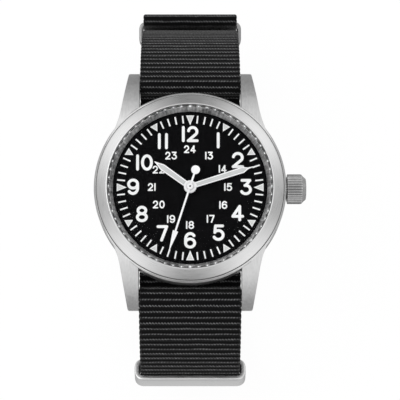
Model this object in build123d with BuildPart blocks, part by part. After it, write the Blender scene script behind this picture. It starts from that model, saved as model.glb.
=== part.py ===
from build123d import *
import os
from math import asin, atan2, cos, degrees, hypot, radians, sin

# Field watch with a three-hand quartz movement on a pass-through fabric strap.
# Millimetres. +Z is the dial's normal, +Y points to 12 o'clock, +X to the crown at 3 o'clock.
# The origin is under the dial's centre, on the strap's face that lies on the wrist.

os.makedirs("parts", exist_ok=True)

# Strap: woven band, two layers under the case
strap_width = 20.1
strap_thick = 1.0
layer_gap = 0.15
strap_case_gap = 0.15

# Case: round middle with four curved lugs
case_radius = 18.95
case_rise = 3.0
case_drop = 2.8
case_wall = 2.95
case_bore_r = case_radius - case_wall
case_edge = 0.15
lug_side_gap = 0.1
lug_gap = strap_width + 2 * lug_side_gap
lug_overhang = 4.9
lug_reach = case_radius + lug_overhang
lug_tip_width = 2.15
lug_tip_x = lug_gap / 2 + lug_tip_width
lug_waist_width = 3.5
lug_waist_x = lug_gap / 2 + lug_waist_width
lug_waist_inset = 2.95
lug_waist_y = case_radius - lug_waist_inset
lug_root_angle = 33.0
lug_curve_run = 11.85
lug_curve_y = lug_reach - lug_curve_run
lug_tip_drop = 1.9
lug_foot_drop = 3.4
lug_foot_run = 6.85
lug_foot_y = lug_reach - lug_foot_run
lug_corner_r = 0.35
cut_over = 1.0
hidden_sides = 12

# Case back: screwed disc with six key slots
back_thick = 0.8
back_inset = 1.35
back_radius = case_radius - back_inset
back_chamfer = 0.3
back_neck_rise = 0.7
back_fit = 0.05
key_slots = 6
key_slot_width = 1.6
key_slot_depth = 0.9

# Bezel, crystal and the slanted ring inside
bezel_inset = 0.65
bezel_flange = 1.35
bezel_neck_wall = 0.89
bezel_crest = 0.54
bezel_radius = case_radius - bezel_inset
bezel_neck_r = bezel_radius - bezel_flange
bezel_bore_r = bezel_neck_r - bezel_neck_wall
bezel_neck_drop = 0.7
bezel_neck_fit = 0.05
bezel_wall = 0.35
bezel_height = 1.65
bezel_crest_r = bezel_bore_r + bezel_crest
bezel_bulge = 0.16
crystal_fit = 0.06
crystal_radius = bezel_bore_r - crystal_fit
crystal_rise = 4.1
crystal_edge = 0.62
crystal_dome = 0.8
crystal_bevel = 0.18
dome_break_share = 0.6
dome_rise_share = 0.64
dial_rise = 2.2
dial_thick = 0.4
dial_fit = 0.15
dial_radius = case_bore_r - dial_fit
dial_hole_r = 0.95
rehaut_fit = 0.1
rehaut_slope = 0.7
rehaut_radius = case_bore_r - rehaut_fit
rehaut_foot_r = rehaut_radius - rehaut_slope
marker_margin = 0.75
marker_base_r = rehaut_foot_r - marker_margin
marker_width = 1.6
marker_height = 1.5
cardinal_height = 1.95
marker_thick = 0.08

# Crown, its tube and the keyless works
crown_gap = 0.1
crown_grip = 3.1
crown_cone = 0.8
crown_recess_depth = 1.9
crown_start_x = case_radius + crown_gap
crown_collar = 0.25
crown_grip_end_x = crown_start_x + crown_grip
crown_end_x = crown_grip_end_x + crown_cone
crown_radius = 2.95
crown_flutes = 36
crown_flute_depth = 0.17
crown_tip_r = 2.15
crown_dome = 0.15
crown_recess_r = 1.75
crown_recess_end_x = crown_start_x + crown_recess_depth
tube_radius = 1.0
tube_bore_r = 0.6
tube_inset = 0.1
tube_reach = 1.65
tube_start_x = case_bore_r + tube_inset
tube_end_x = crown_start_x + tube_reach
crown_seal_inset = 0.2
crown_seal_start_x = crown_start_x + crown_seal_inset
crown_seal_length = 0.5
seal_fit = 0.02
stem_radius = 0.45
stem_inner_x = 4.2
stem_square = 0.6
stem_square_start_x = 5.0
stem_square_end_x = 7.9
groove_start_x = 8.2
groove_width = 0.7
groove_r = 0.27
clutch_radius = 0.85
clutch_start_x = 5.4
clutch_length = 1.8
clutch_square = 0.68
clutch_teeth = 6
clutch_tooth_depth = 0.3
lever_pivot_x = 9.05
lever_pivot_y = 2.8
lever_pin_x = 8.55
lever_pin_r = 0.2
lever_width = 0.7
lever_hub_r = 0.7
lever_thick = 0.3
lever_pin_tip_drop = 0.32
lever_post_r = 0.25
running_fit = 0.03

# Movement levels, each measured up from the crown's axis
plate_radius = 11.65
plate_back = -0.2
plate_front = 1.7
works_floor = 0.9
bridge_back = -1.8
bridge_front = -1.5
holder_fit = 0.05
holder_sides = 12

# Wheel train from the rotor to the hands: teeth and modules
wheel_addendum_share = 0.8
leaf_addendum_share = 0.7
dedendum_share = 1.25
leaf_root_share = 0.4
wheel_thick = 0.15
leaf_count = 6
centre_teeth = 48
third_teeth = 45
fourth_teeth = 30
fifth_teeth = 36
third_module = 0.12
fourth_module = 0.17
fifth_module = 0.12
centre_level = -0.55
third_level = -0.95
fourth_level = -1.35
arbor_r = 0.12
arbor_back = -1.47
arbor_front = -0.23
fourth_arbor_r = 0.15
leaf_over = 0.3
third_angle = 290.0
fifth_angle = 100.0
rotor_angle = 60.0
centre_tube_r = 0.42
centre_tube_bore_r = 0.2

# Motion works under the dial
works_module = 0.16
cannon_teeth = 10
minute_teeth = 30
minute_leaves = 8
hour_teeth = 32
minute_wheel_angle = -20.0
minute_post_r = 0.3
cannon_r = 0.58
cannon_bore_r = 0.45
cannon_level = 0.95
cannon_leaf_height = 0.32
minute_level = 0.98
minute_leaf_front = 1.62
hour_level = 1.38
hour_tube_r = 0.8
hour_tube_bore_r = 0.63
hour_wheel_thick = 0.2

# Motor, battery and circuit
magnet_r = 0.6
magnet_level = -0.66
magnet_height = 0.34
stator_level = -0.6
stator_thick = 0.25
stator_hole_r = 0.8
stator_left = -5.6
stator_right = 6.8
stator_front_y = 3.95
stator_inner_y = 6.5
stator_leg = 1.4
coil_y = 8.6
core_width = 1.2
coil_radius = 1.05
coil_length = 8.2
coil_centre_x = 0.6
battery_x = -6.6
battery_y = -3.5
battery_radius = 3.4
battery_back = -1.9
battery_height = 2.6
pocket_gap = 0.1
clamp_thick = 0.14
clamp_width = 1.4
clamp_leg_gap = 0.15
board_inner_r = 7.3
board_outer_r = 11.2
board_start = -100.0
board_end = -18.0
board_thick = 0.3
chip_size = 1.8
chip_height = 0.6
chip_radius = 8.6
chip_angle = -78.0
chip_taper = 10.0
can_radius = 0.75
can_length = 5.2
can_reach = 8.9
can_angle = -45.0
pillar_r = 0.6
pillar_sites = ((4.4, 2.4), (-3.7, 1.6), (4.3, -4.6))
bridge_margin = 0.9
screw_head_r = 0.5
screw_head = 0.22

# Hands, at the time that the watch shows, as degrees clockwise from 12
hour_hand_level = 2.75
minute_hand_level = 3.15
second_hand_level = 3.55
hand_thick = 0.15
hand_hub_r = 1.24
hand_fit = 0.01
hour_angle = 305.8
hour_width = 1.27
hour_root_width = 1.15
hour_margin = 5.8
hour_needle = 0.45
hour_taper = 1.45
hour_tip = marker_base_r - hour_margin
hour_neck = hour_tip - hour_needle
hour_shoulder = hour_neck - hour_taper
minute_angle = 72.3
minute_width = 1.2
minute_root_width = 1.0
minute_margin = 1.45
minute_needle = 1.1
minute_taper = 0.95
minute_tip = marker_base_r - minute_margin
minute_neck = minute_tip - minute_needle
minute_shoulder = minute_neck - minute_taper
needle_width = 0.34
tip_width = 0.12
second_angle = 197.9
second_width = 0.37
second_margin = 1.25
second_arrow_run = 3.9
second_tip = marker_base_r - second_margin
second_arrow_r = second_tip - second_arrow_run
second_arrow_width = 1.1
second_tail = 3.45
second_tail_r = 0.87
second_hub_r = 0.66

# Spring bars between the lugs
bar_inset = 2.6
bar_y = lug_reach - bar_inset
bar_drop = 1.7
bar_radius = 0.75
bar_bore_r = 0.5
bar_end_gap = 1.2
bar_half = strap_width / 2 - bar_end_gap
bar_strap_gap = 0.1
bar_hole_r = 0.45
bar_hole_depth = 1.1
bar_hole_end = lug_gap / 2 + bar_hole_depth
tip_pin_r = 0.4
tip_end_gap = 0.15
tip_pin_end = bar_hole_end - tip_end_gap
tip_shank_gap = 0.07
tip_shank_end = lug_gap / 2 - tip_shank_gap
tip_shank_r = 0.46
tip_shank_run = 2.35
tip_shank_start = bar_half - tip_shank_run
bar_spring_r = 0.4
bar_spring_bore_r = 0.24
bar_spring_gap = 0.1

# Run of the strap round the wrist
under_bend_r = 1.6
over_bar_turn = 120.0
shoulder_r = 33.3
shoulder_turn = 45.0
flank_r = 61.0
flank_turn = 15.0
corner_r = 21.0
inner_flat = 12.0
ring_turn = 36.5
side_turn = 39.0
side_bend_r = 10.0
side_bend_turn = 24.0

# Ring, keepers and buckle
ring_wall = 1.1
ring_height = 3.2
ring_corner = 2.0
ring_inner_corner = 0.45
keeper_wall = 0.9
keeper_height = 2.6
keeper_side_gap = 0.35
hardware_side_gap = 0.15
upper_keeper_turn = 13.6
lower_keeper_turn = 45.0
end_reach = 8.6
buckle_bar_r = 0.75
buckle_reach = 9.2
buckle_wire = 1.6
buckle_edge = 0.3
buckle_side_gap = 0.35
buckle_corner = 2.2
buckle_eye_r = 1.3
tongue_thick = 0.9
tongue_width = 1.5
tongue_over = 1.3
tongue_eye_r = 1.55
tongue_fit = 0.05
tongue_slot = 2.2
hem_length = 4.5
hem_margin = 1.01885
hem_gap = 0.1
tail_tilt = 20.0
tail_bend_r = 4.0
tail_hole_gap = 0.22
hole_radius = 0.9
hole_pitch = 6.5
hole_count = 3
tail_rise = 10.2
tail_lean = 1.5
fold_gap = 0.06
fold_r = strap_thick / 2 + fold_gap
fold_back = 13.5
ring_depth = 4.8
ring_hem = 5.0
wire_gap = 0.1
keeper_corner = 1.8
keeper_inner_corner = 0.6

# Levels that follow from the sizes above
layer_step = strap_thick + layer_gap
wrap_r = bar_radius + bar_strap_gap + strap_thick / 2
inner_mid_z = strap_thick / 2
main_mid_z = inner_mid_z + layer_step
back_face_z = 2 * strap_thick + layer_gap + strap_case_gap
case_floor_z = back_face_z + back_thick
crown_z = case_floor_z + case_drop
case_top_z = crown_z + case_rise
bar_z = crown_z - bar_drop
dial_top_z = crown_z + dial_rise
dial_back_z = dial_top_z - dial_thick
crystal_z = crown_z + crystal_rise
crown_axis = Axis((0, 0, crown_z), (1, 0, 0))
centre_module = third_module * (leaf_count + third_teeth) / (leaf_count + centre_teeth)
third_distance = third_module * (leaf_count + third_teeth) / 2
fifth_distance = fourth_module * (leaf_count + fourth_teeth) / 2
rotor_distance = fifth_module * (leaf_count + fifth_teeth) / 2
works_distance = works_module * (cannon_teeth + minute_teeth) / 2


def polar(distance, angle, centre=(0, 0)):
    """Point at a distance and an angle in degrees from a centre."""
    return (
        centre[0] + distance * cos(radians(angle)),
        centre[1] + distance * sin(radians(angle)),
    )


third_site = polar(third_distance, third_angle)
fifth_site = polar(fifth_distance, fifth_angle)
rotor_site = polar(rotor_distance, rotor_angle, fifth_site)
minute_site = polar(works_distance, minute_wheel_angle)


def level(height):
    """Horizontal plane at a height above the crown's axis."""
    return Plane.XY.offset(crown_z + height)


def wheel_outline(teeth, module, mate_angle, site=(0, 0)):
    """Wheel of pointed teeth with a gap facing its pinion, which lies at mate_angle."""
    points = []
    for tooth in range(teeth):
        gap = mate_angle + tooth * 360 / teeth
        points.append(polar(module * (teeth / 2 - dedendum_share), gap, site))
        points.append(polar(module * (teeth / 2 + wheel_addendum_share), gap + 180 / teeth, site))
    return points


def leaf_outline(teeth, module, mate_angle, site=(0, 0)):
    """Pinion of narrow leaves with one facing its wheel, which lies at mate_angle."""
    root_r = module * (teeth / 2 - dedendum_share)
    points = []
    for leaf in range(teeth):
        middle = mate_angle + leaf * 360 / teeth
        points.append(polar(root_r, middle - 180 / teeth * leaf_root_share, site))
        points.append(polar(module * (teeth / 2 + leaf_addendum_share), middle, site))
        points.append(polar(root_r, middle + 180 / teeth * leaf_root_share, site))
    return points


def hand_plane(height, clockwise):
    """Plane of a hand, whose own +Y points clockwise degrees from 12."""
    turn = radians(clockwise)
    return Plane(
        origin=(0, 0, crown_z + height), x_dir=(cos(turn), -sin(turn), 0), z_dir=(0, 0, 1)
    )


def walk(start, heading, steps, shift=0.0, draw=False):
    """Follow straight (length,) and bent (radius, turn) steps in the YZ plane.

    A turn is in degrees, positive to the left. The line runs shift to the left of the steps.
    Returns its first and last point and the last heading.
    """
    way = radians(heading)
    at = (start[0] - shift * sin(way), start[1] + shift * cos(way))
    first = at
    for step in steps:
        if len(step) == 1:
            end = (at[0] + step[0] * cos(way), at[1] + step[0] * sin(way))
            if draw:
                Line(at, end)
        else:
            turn = radians(step[1])
            side = 1 if step[1] > 0 else -1
            radius = step[0] - side * shift
            centre = (at[0] - side * radius * sin(way), at[1] + side * radius * cos(way))
            if draw:
                JernArc(start=at, tangent=(cos(way), sin(way)), radius=radius, arc_size=step[1])
            way = way + turn
            end = (centre[0] + side * radius * sin(way), centre[1] - side * radius * cos(way))
        at = end
    return first, at, degrees(way)


def along(start, heading, steps, distance):
    """Point and heading at a distance along the steps."""
    part = []
    left = distance
    for step in steps:
        length = step[0] if len(step) == 1 else step[0] * radians(abs(step[1]))
        if left <= length:
            part.append((left,) if len(step) == 1 else (step[0], step[1] * left / length))
            break
        part.append(step)
        left = left - length
    _, point, way = walk(start, heading, part)
    return point, way


def draw_band(start, heading, steps):
    """Outline of a strap layer along the steps: two parallel sides and square ends."""
    left_start, left_end, _ = walk(start, heading, steps, strap_thick / 2, draw=True)
    right_start, right_end, _ = walk(start, heading, steps, -strap_thick / 2, draw=True)
    Line(left_start, right_start)
    Line(left_end, right_end)


def across(point, heading):
    """Plane square to the strap at a point of the YZ plane; its +Y is right of the heading."""
    way = radians(heading)
    return Plane(
        origin=(0, point[0], point[1]), x_dir=(1, 0, 0), z_dir=(0, cos(way), sin(way))
    )


# Runs of the strap, from the middle of the case outwards
flat_length = bar_y - wrap_r - under_bend_r
climb = bar_z - main_mid_z - under_bend_r
run_12 = [
    (flat_length,),
    (under_bend_r, 90),
    (climb,),
    (wrap_r, -over_bar_turn),
    (shoulder_r, -shoulder_turn),
    (flank_r, -flank_turn),
]
_, flank_end, flank_heading = walk((0, main_mid_z), 0, run_12)
bottom_z = flank_end[1] - corner_r
buckle_run = hem_length + hem_margin
buckle_y = flank_end[0] - corner_r - buckle_run
strap_end_y = buckle_y - end_reach
hinge_z = bottom_z + wrap_r
hem_step = 2 * wrap_r
run_bottom_12 = [
    (corner_r, -90),
    (buckle_run,),
    (wrap_r, -180),
    (hem_length,),
]
run_6 = [
    (flat_length,),
    (under_bend_r, -90),
    (climb,),
    (wrap_r, over_bar_turn),
    (shoulder_r, side_turn),
    (side_bend_r, side_bend_turn),
]
_, side_start, side_way = walk((0, main_mid_z), 180, run_6)
under_corner_r = corner_r - layer_step
side_rise = under_corner_r * (1 - cos(radians(side_way)))
side_drop = (side_start[1] - bottom_z - layer_step - side_rise) / -sin(radians(side_way))
under_end_y = side_start[0] + side_drop * cos(radians(side_way))
under_end_y = under_end_y - under_corner_r * sin(radians(side_way))
run_6 = run_6 + [
    (side_drop,),
    (under_corner_r, 360 - side_way),
    (strap_end_y - under_end_y,),
]

# Case: lugs from a plan and a side profile, then the round middle, bores and holes
lug_root = polar(case_radius - 2 * case_edge, lug_root_angle)
lug_fall = case_rise + lug_tip_drop
lug_curve_r = ((lug_reach - lug_curve_y) ** 2 + lug_fall**2) / (2 * lug_fall)
with BuildPart() as case:
    with BuildSketch(Plane.XY.offset(crown_z - lug_foot_drop)):
        with BuildLine():
            Line((lug_gap / 2, 0), lug_root)
            Line((lug_waist_x, lug_waist_y), (lug_tip_x, lug_reach))
            TangentArc(
                (lug_waist_x, lug_waist_y),
                lug_root,
                tangent=(lug_waist_x - lug_tip_x, lug_waist_y - lug_reach),
            )
            Line((lug_tip_x, lug_reach), (lug_gap / 2, lug_reach))
            Line((lug_gap / 2, lug_reach), (lug_gap / 2, 0))
        make_face()
        mirror(about=Plane.YZ)
        mirror(about=Plane.XZ)
    extrude(amount=case_top_z - crown_z + lug_foot_drop)
    with BuildSketch(Plane.YZ):
        with BuildLine():
            Line((0, case_top_z), (lug_curve_y, case_top_z))
            JernArc(
                start=(lug_curve_y, case_top_z),
                tangent=(1, 0),
                radius=lug_curve_r,
                arc_size=-degrees(asin((lug_reach - lug_curve_y) / lug_curve_r)),
            )
            Line((lug_reach, crown_z - lug_tip_drop), (lug_reach, crown_z - lug_foot_drop))
            Line((lug_reach, crown_z - lug_foot_drop), (lug_foot_y, case_floor_z))
            Line((lug_foot_y, case_floor_z), (0, case_floor_z))
            Line((0, case_floor_z), (0, case_top_z))
        make_face()
        mirror(about=Plane.YZ)
    extrude(amount=case_radius, both=True, mode=Mode.INTERSECT)
    tip_edges = case.edges().filter_by(Axis.Z)
    tip_edges = tip_edges.filter_by(lambda e: abs(e.center().X) > lug_gap / 2 + case_edge)
    tip_edges = tip_edges.filter_by(lambda e: abs(abs(e.center().Y) - lug_reach) < case_edge)
    fillet(tip_edges, radius=lug_corner_r)
    with BuildSketch(Plane.XZ):
        with BuildLine():
            Polyline(
                (0, case_floor_z),
                (case_radius, case_floor_z),
                (case_radius, case_top_z - case_edge),
                (case_radius - case_edge, case_top_z),
                (0, case_top_z),
                close=True,
            )
        make_face()
    revolve(axis=Axis.Z)
    with BuildSketch(Plane.XZ):
        with BuildLine():
            Polyline(
                (0, case_floor_z - cut_over),
                (case_bore_r, case_floor_z - cut_over),
                (case_bore_r, case_top_z - bezel_neck_drop),
                (bezel_neck_r + bezel_neck_fit, case_top_z - bezel_neck_drop),
                (bezel_neck_r + bezel_neck_fit, case_top_z + cut_over),
                (0, case_top_z + cut_over),
                close=True,
            )
        make_face()
    revolve(axis=Axis.Z, mode=Mode.SUBTRACT)
    with BuildSketch(Plane.YZ.offset(case_bore_r - cut_over)):
        with Locations((0, crown_z)):
            Circle(tube_radius)
    extrude(amount=case_radius, mode=Mode.SUBTRACT)
    with BuildSketch(Plane.YZ):
        with Locations((bar_y, bar_z), (-bar_y, bar_z)):
            RegularPolygon(bar_hole_r, hidden_sides, major_radius=False)
    extrude(amount=bar_hole_end, both=True, mode=Mode.SUBTRACT)
case.part.label = "case"
export_step(case.part, "parts/case.step")

# Bezel: a ring with a slope of two angles, pressed into the case
bezel_foot_z = case_top_z - bezel_neck_drop
bezel_top_z = case_top_z + bezel_height
slope_mid_r = (bezel_radius + bezel_crest_r) / 2 + bezel_bulge
slope_mid_z = (case_top_z + bezel_wall + bezel_top_z) / 2 + bezel_bulge
with BuildPart() as bezel:
    with BuildSketch(Plane.XZ):
        with BuildLine():
            Polyline(
                (bezel_bore_r, bezel_top_z),
                (bezel_bore_r, bezel_foot_z),
                (bezel_neck_r, bezel_foot_z),
                (bezel_neck_r, case_top_z),
                (bezel_radius, case_top_z),
                (bezel_radius, case_top_z + bezel_wall),
                (slope_mid_r, slope_mid_z),
                (bezel_crest_r, bezel_top_z),
                close=True,
            )
        make_face()
    revolve(axis=Axis.Z)
bezel.part.label = "bezel"
export_step(bezel.part, "parts/bezel.step")

# Crystal: flat underneath, gently domed above
crystal_top_z = crystal_z + crystal_edge
with BuildPart() as crystal:
    with BuildSketch(Plane.XZ):
        with BuildLine():
            Polyline(
                (0, crystal_top_z + crystal_dome),
                (crystal_radius * dome_break_share, crystal_top_z + crystal_dome * dome_rise_share),
                (crystal_radius - crystal_bevel, crystal_top_z),
                (crystal_radius, crystal_top_z - crystal_bevel),
                (crystal_radius, crystal_z),
                (0, crystal_z),
                close=True,
            )
        make_face()
    revolve(axis=Axis.Z)
crystal.part.label = "crystal"
export_step(crystal.part, "parts/crystal.step")

# Slanted ring between the dial and the crystal
with BuildPart() as rehaut_ring:
    with BuildSketch(Plane.XZ):
        with BuildLine():
            Polyline(
                (rehaut_foot_r, dial_top_z),
                (rehaut_radius, dial_top_z),
                (rehaut_radius, crystal_z),
                close=True,
            )
        make_face()
    revolve(axis=Axis.Z)
rehaut_ring.part.label = "rehaut_ring"
export_step(rehaut_ring.part, "parts/rehaut_ring.step")

# Case back: flange and neck, with key slots round the edge
neck_r = case_bore_r - back_fit
with BuildPart() as case_back:
    with BuildSketch(Plane.XZ):
        with BuildLine():
            Polyline(
                (0, back_face_z),
                (back_radius - back_chamfer, back_face_z),
                (back_radius, back_face_z + back_chamfer),
                (back_radius, case_floor_z),
                (neck_r, case_floor_z),
                (neck_r, case_floor_z + back_neck_rise),
                (0, case_floor_z + back_neck_rise),
                close=True,
            )
        make_face()
    revolve(axis=Axis.Z)
    with BuildSketch(Plane.XY.offset(back_face_z)):
        with PolarLocations(back_radius, key_slots, start_angle=180 / key_slots):
            Rectangle(2 * key_slot_depth, key_slot_width)
    extrude(amount=back_thick / 2, mode=Mode.SUBTRACT)
case_back.part.label = "case_back"
export_step(case_back.part, "parts/case_back.step")

# Movement holder: a twelve-sided plastic ring that centres the movement in the case
holder_back_z = case_floor_z + back_neck_rise
with BuildPart() as movement_holder:
    with BuildSketch(Plane.XY.offset(holder_back_z)):
        RegularPolygon(case_bore_r - back_fit, holder_sides)
        RegularPolygon(
            plate_radius + holder_fit, holder_sides, major_radius=False, mode=Mode.SUBTRACT
        )
    extrude(amount=dial_back_z - holder_back_z)
    with BuildSketch(Plane.YZ.offset(plate_radius - cut_over)):
        with Locations((0, crown_z)):
            RegularPolygon(tube_bore_r, hidden_sides, major_radius=False)
    extrude(amount=case_bore_r, mode=Mode.SUBTRACT)
movement_holder.part.label = "movement_holder"
export_step(movement_holder.part, "parts/movement_holder.step")

# Crown tube, crown, seal and stem, all round the crown's axis
with BuildPart() as crown_tube:
    with BuildSketch(Plane.YZ.offset(tube_start_x)):
        with Locations((0, crown_z)):
            Circle(tube_radius)
            RegularPolygon(
                tube_bore_r, hidden_sides, major_radius=False, mode=Mode.SUBTRACT
            )
    extrude(amount=tube_end_x - tube_start_x)
crown_tube.part.label = "crown_tube"
export_step(crown_tube.part, "parts/crown_tube.step")

flute_root_r = crown_radius - crown_flute_depth
flute_points = []
for flute in range(crown_flutes):
    angle = 360 * flute / crown_flutes
    flute_points.append(polar(flute_root_r, angle, (0, crown_z)))
    flute_points.append(polar(crown_radius, angle + 180 / crown_flutes, (0, crown_z)))
with BuildPart() as crown:
    with BuildSketch(Plane.YZ.offset(crown_start_x + crown_collar)):
        with BuildLine():
            Polyline(*flute_points, close=True)
        make_face()
    extrude(amount=crown_grip_end_x - crown_start_x - crown_collar)
    with BuildSketch(Plane.XZ):
        with BuildLine():
            Polyline(
                (crown_end_x, crown_z),
                (crown_start_x, crown_z),
                (crown_start_x, crown_z + flute_root_r - crown_flute_depth),
                (crown_start_x + crown_collar, crown_z + flute_root_r),
                (crown_grip_end_x, crown_z + flute_root_r),
                (crown_end_x - crown_dome, crown_z + crown_tip_r),
                close=True,
            )
        make_face()
    revolve(axis=crown_axis)
    with BuildSketch(Plane.YZ.offset(crown_start_x)):
        with Locations((0, crown_z)):
            RegularPolygon(crown_recess_r, hidden_sides, major_radius=False)
    extrude(amount=crown_recess_end_x - crown_start_x, mode=Mode.SUBTRACT)
crown.part.label = "crown"
export_step(crown.part, "parts/crown.step")

with BuildPart() as crown_gasket:
    with BuildSketch(Plane.YZ.offset(crown_seal_start_x)):
        with Locations((0, crown_z)):
            RegularPolygon(crown_recess_r - seal_fit, hidden_sides)
            RegularPolygon(
                tube_radius + seal_fit, hidden_sides, major_radius=False, mode=Mode.SUBTRACT
            )
    extrude(amount=crown_seal_length)
crown_gasket.part.label = "crown_gasket"
export_step(crown_gasket.part, "parts/crown_gasket.step")

with BuildPart() as stem:
    with BuildSketch(Plane.XZ):
        with BuildLine():
            Polyline(
                (stem_square_end_x, crown_z),
                (stem_square_end_x, crown_z + stem_radius),
                (groove_start_x, crown_z + stem_radius),
                (groove_start_x, crown_z + groove_r),
                (groove_start_x + groove_width, crown_z + groove_r),
                (groove_start_x + groove_width, crown_z + stem_radius),
                (crown_recess_end_x, crown_z + stem_radius),
                (crown_recess_end_x, crown_z),
                close=True,
            )
        make_face()
    revolve(axis=crown_axis)
    with BuildSketch(Plane.YZ.offset(stem_square_start_x)):
        with Locations((0, crown_z)):
            Rectangle(stem_square, stem_square)
    extrude(amount=stem_square_end_x - stem_square_start_x)
stem.part.label = "stem"
export_step(stem.part, "parts/stem.step")

# Sliding pinion on the stem's square, with end teeth towards the minute wheel
tooth_arc = 360 / clutch_teeth / 2
with BuildPart() as sliding_pinion:
    with BuildSketch(Plane.XZ):
        with BuildLine():
            Polyline(
                (clutch_start_x, crown_z),
                (clutch_start_x, crown_z + clutch_radius),
                (clutch_start_x + clutch_length, crown_z + clutch_radius),
                (clutch_start_x + clutch_length, crown_z),
                close=True,
            )
        make_face()
    revolve(axis=crown_axis)
    with BuildSketch(Plane.YZ.offset(clutch_start_x)):
        with Locations((0, crown_z)):
            with PolarLocations(clutch_radius, clutch_teeth):
                Rectangle(clutch_radius / 2, clutch_radius * sin(radians(tooth_arc)))
    extrude(amount=clutch_tooth_depth, mode=Mode.SUBTRACT)
    with BuildSketch(Plane.YZ.offset(clutch_start_x - cut_over)):
        with Locations((0, crown_z)):
            Rectangle(clutch_square, clutch_square)
    extrude(amount=clutch_length + 2 * cut_over, mode=Mode.SUBTRACT)
sliding_pinion.part.label = "sliding_pinion"
export_step(sliding_pinion.part, "parts/sliding_pinion.step")

# Setting lever: turns on a post of the main plate, its pin in the stem's groove
lever_front = -stem_radius - pocket_gap
lever_back = lever_front - lever_thick
arm_length = hypot(lever_pivot_x - lever_pin_x, lever_pivot_y)
arm_angle = degrees(atan2(-lever_pivot_y, lever_pin_x - lever_pivot_x))
with BuildPart() as setting_lever:
    with BuildSketch(level(lever_back)):
        with Locations((lever_pivot_x, lever_pivot_y)):
            RegularPolygon(lever_hub_r, hidden_sides)
        with Locations((lever_pin_x, 0)):
            RegularPolygon(lever_width / 2, hidden_sides)
        with Locations(
            Location(((lever_pivot_x + lever_pin_x) / 2, lever_pivot_y / 2, 0), arm_angle)
        ):
            Rectangle(arm_length, lever_width)
        with Locations((lever_pivot_x, lever_pivot_y)):
            Circle(lever_post_r + running_fit, mode=Mode.SUBTRACT)
    extrude(amount=lever_thick)
    with BuildSketch(level(lever_back)):
        with Locations((lever_pin_x, 0)):
            RegularPolygon(lever_pin_r, hidden_sides)
    extrude(amount=-lever_pin_tip_drop - lever_back)
setting_lever.part.label = "setting_lever"
export_step(setting_lever.part, "parts/setting_lever.step")

# Main plate: pockets for the motion works, clutch, battery and coil, posts and pillars
with BuildPart() as main_plate:
    with BuildSketch(level(plate_back)):
        Circle(plate_radius)
    extrude(amount=plate_front - plate_back)
    with BuildSketch(level(works_floor)):
        Circle(works_module * (hour_teeth / 2 + 1) + 2 * pocket_gap)
        with Locations(minute_site):
            Circle(works_module * (minute_teeth / 2 + 1) + pocket_gap)
    extrude(amount=plate_front - works_floor, mode=Mode.SUBTRACT)
    with BuildSketch(level(plate_back)):
        with Locations(((stem_inner_x + groove_start_x) / 2 + groove_width, 0)):
            Rectangle(
                groove_start_x - stem_inner_x + 3 * groove_width,
                2 * (clutch_radius + pocket_gap),
            )
    extrude(amount=clutch_radius + pocket_gap - plate_back, mode=Mode.SUBTRACT)
    with BuildSketch(level(plate_back)):
        with Locations((battery_x, battery_y)):
            Circle(battery_radius + pocket_gap)
    extrude(amount=battery_back + battery_height + pocket_gap - plate_back, mode=Mode.SUBTRACT)
    with BuildSketch(level(plate_back)):
        with Locations((coil_centre_x, coil_y)):
            Rectangle(coil_length + 2 * pocket_gap, 2 * (coil_radius + pocket_gap))
    extrude(amount=coil_radius / 2, mode=Mode.SUBTRACT)
    with BuildSketch(level(bridge_front)):
        with Locations(*pillar_sites):
            RegularPolygon(pillar_r, hidden_sides)
    extrude(amount=plate_back - bridge_front)
    with BuildSketch(level(lever_back)):
        with Locations((lever_pivot_x, lever_pivot_y)):
            RegularPolygon(lever_post_r, hidden_sides)
    extrude(amount=plate_back - lever_back)
    with BuildSketch(level(works_floor)):
        with Locations(minute_site):
            RegularPolygon(minute_post_r, hidden_sides)
    extrude(amount=minute_leaf_front - works_floor)
    with BuildSketch(Plane.YZ.offset(groove_start_x)):
        with Locations((0, crown_z)):
            RegularPolygon(stem_radius + running_fit, hidden_sides, major_radius=False)
    extrude(amount=plate_radius, mode=Mode.SUBTRACT)
    with BuildSketch(level(plate_back)):
        Circle(centre_tube_r + running_fit)
    extrude(amount=plate_front - plate_back, mode=Mode.SUBTRACT)
main_plate.part.label = "main_plate"
export_step(main_plate.part, "parts/main_plate.step")

# Train bridge over the wheels, held by three screws
with BuildPart() as train_bridge:
    with BuildSketch(level(bridge_back)):
        with Locations(*pillar_sites):
            Circle(bridge_margin)
        with Locations(rotor_site, third_site):
            Circle(bridge_margin)
        make_hull()
    extrude(amount=bridge_front - bridge_back)
train_bridge.part.label = "train_bridge"
export_step(train_bridge.part, "parts/train_bridge.step")

with BuildPart() as bridge_screws:
    with BuildSketch(level(bridge_back - screw_head)):
        with Locations(*pillar_sites):
            RegularPolygon(screw_head_r, hidden_sides)
    extrude(amount=screw_head)
bridge_screws.part.label = "bridge_screws"
export_step(bridge_screws.part, "parts/bridge_screws.step")

# Centre wheel: carries the minutes on a tube through the main plate
with BuildPart() as centre_wheel:
    with BuildSketch(level(centre_level)):
        with BuildLine():
            Polyline(*wheel_outline(centre_teeth, centre_module, third_angle), close=True)
        make_face()
    extrude(amount=wheel_thick)
    with BuildSketch(level(centre_level)):
        Circle(centre_tube_r)
    extrude(amount=dial_rise - centre_level)
    with BuildSketch(level(centre_level)):
        RegularPolygon(centre_tube_bore_r, hidden_sides, major_radius=False)
    extrude(amount=dial_rise - centre_level, mode=Mode.SUBTRACT)
centre_wheel.part.label = "centre_wheel"
export_step(centre_wheel.part, "parts/centre_wheel.step")

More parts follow.
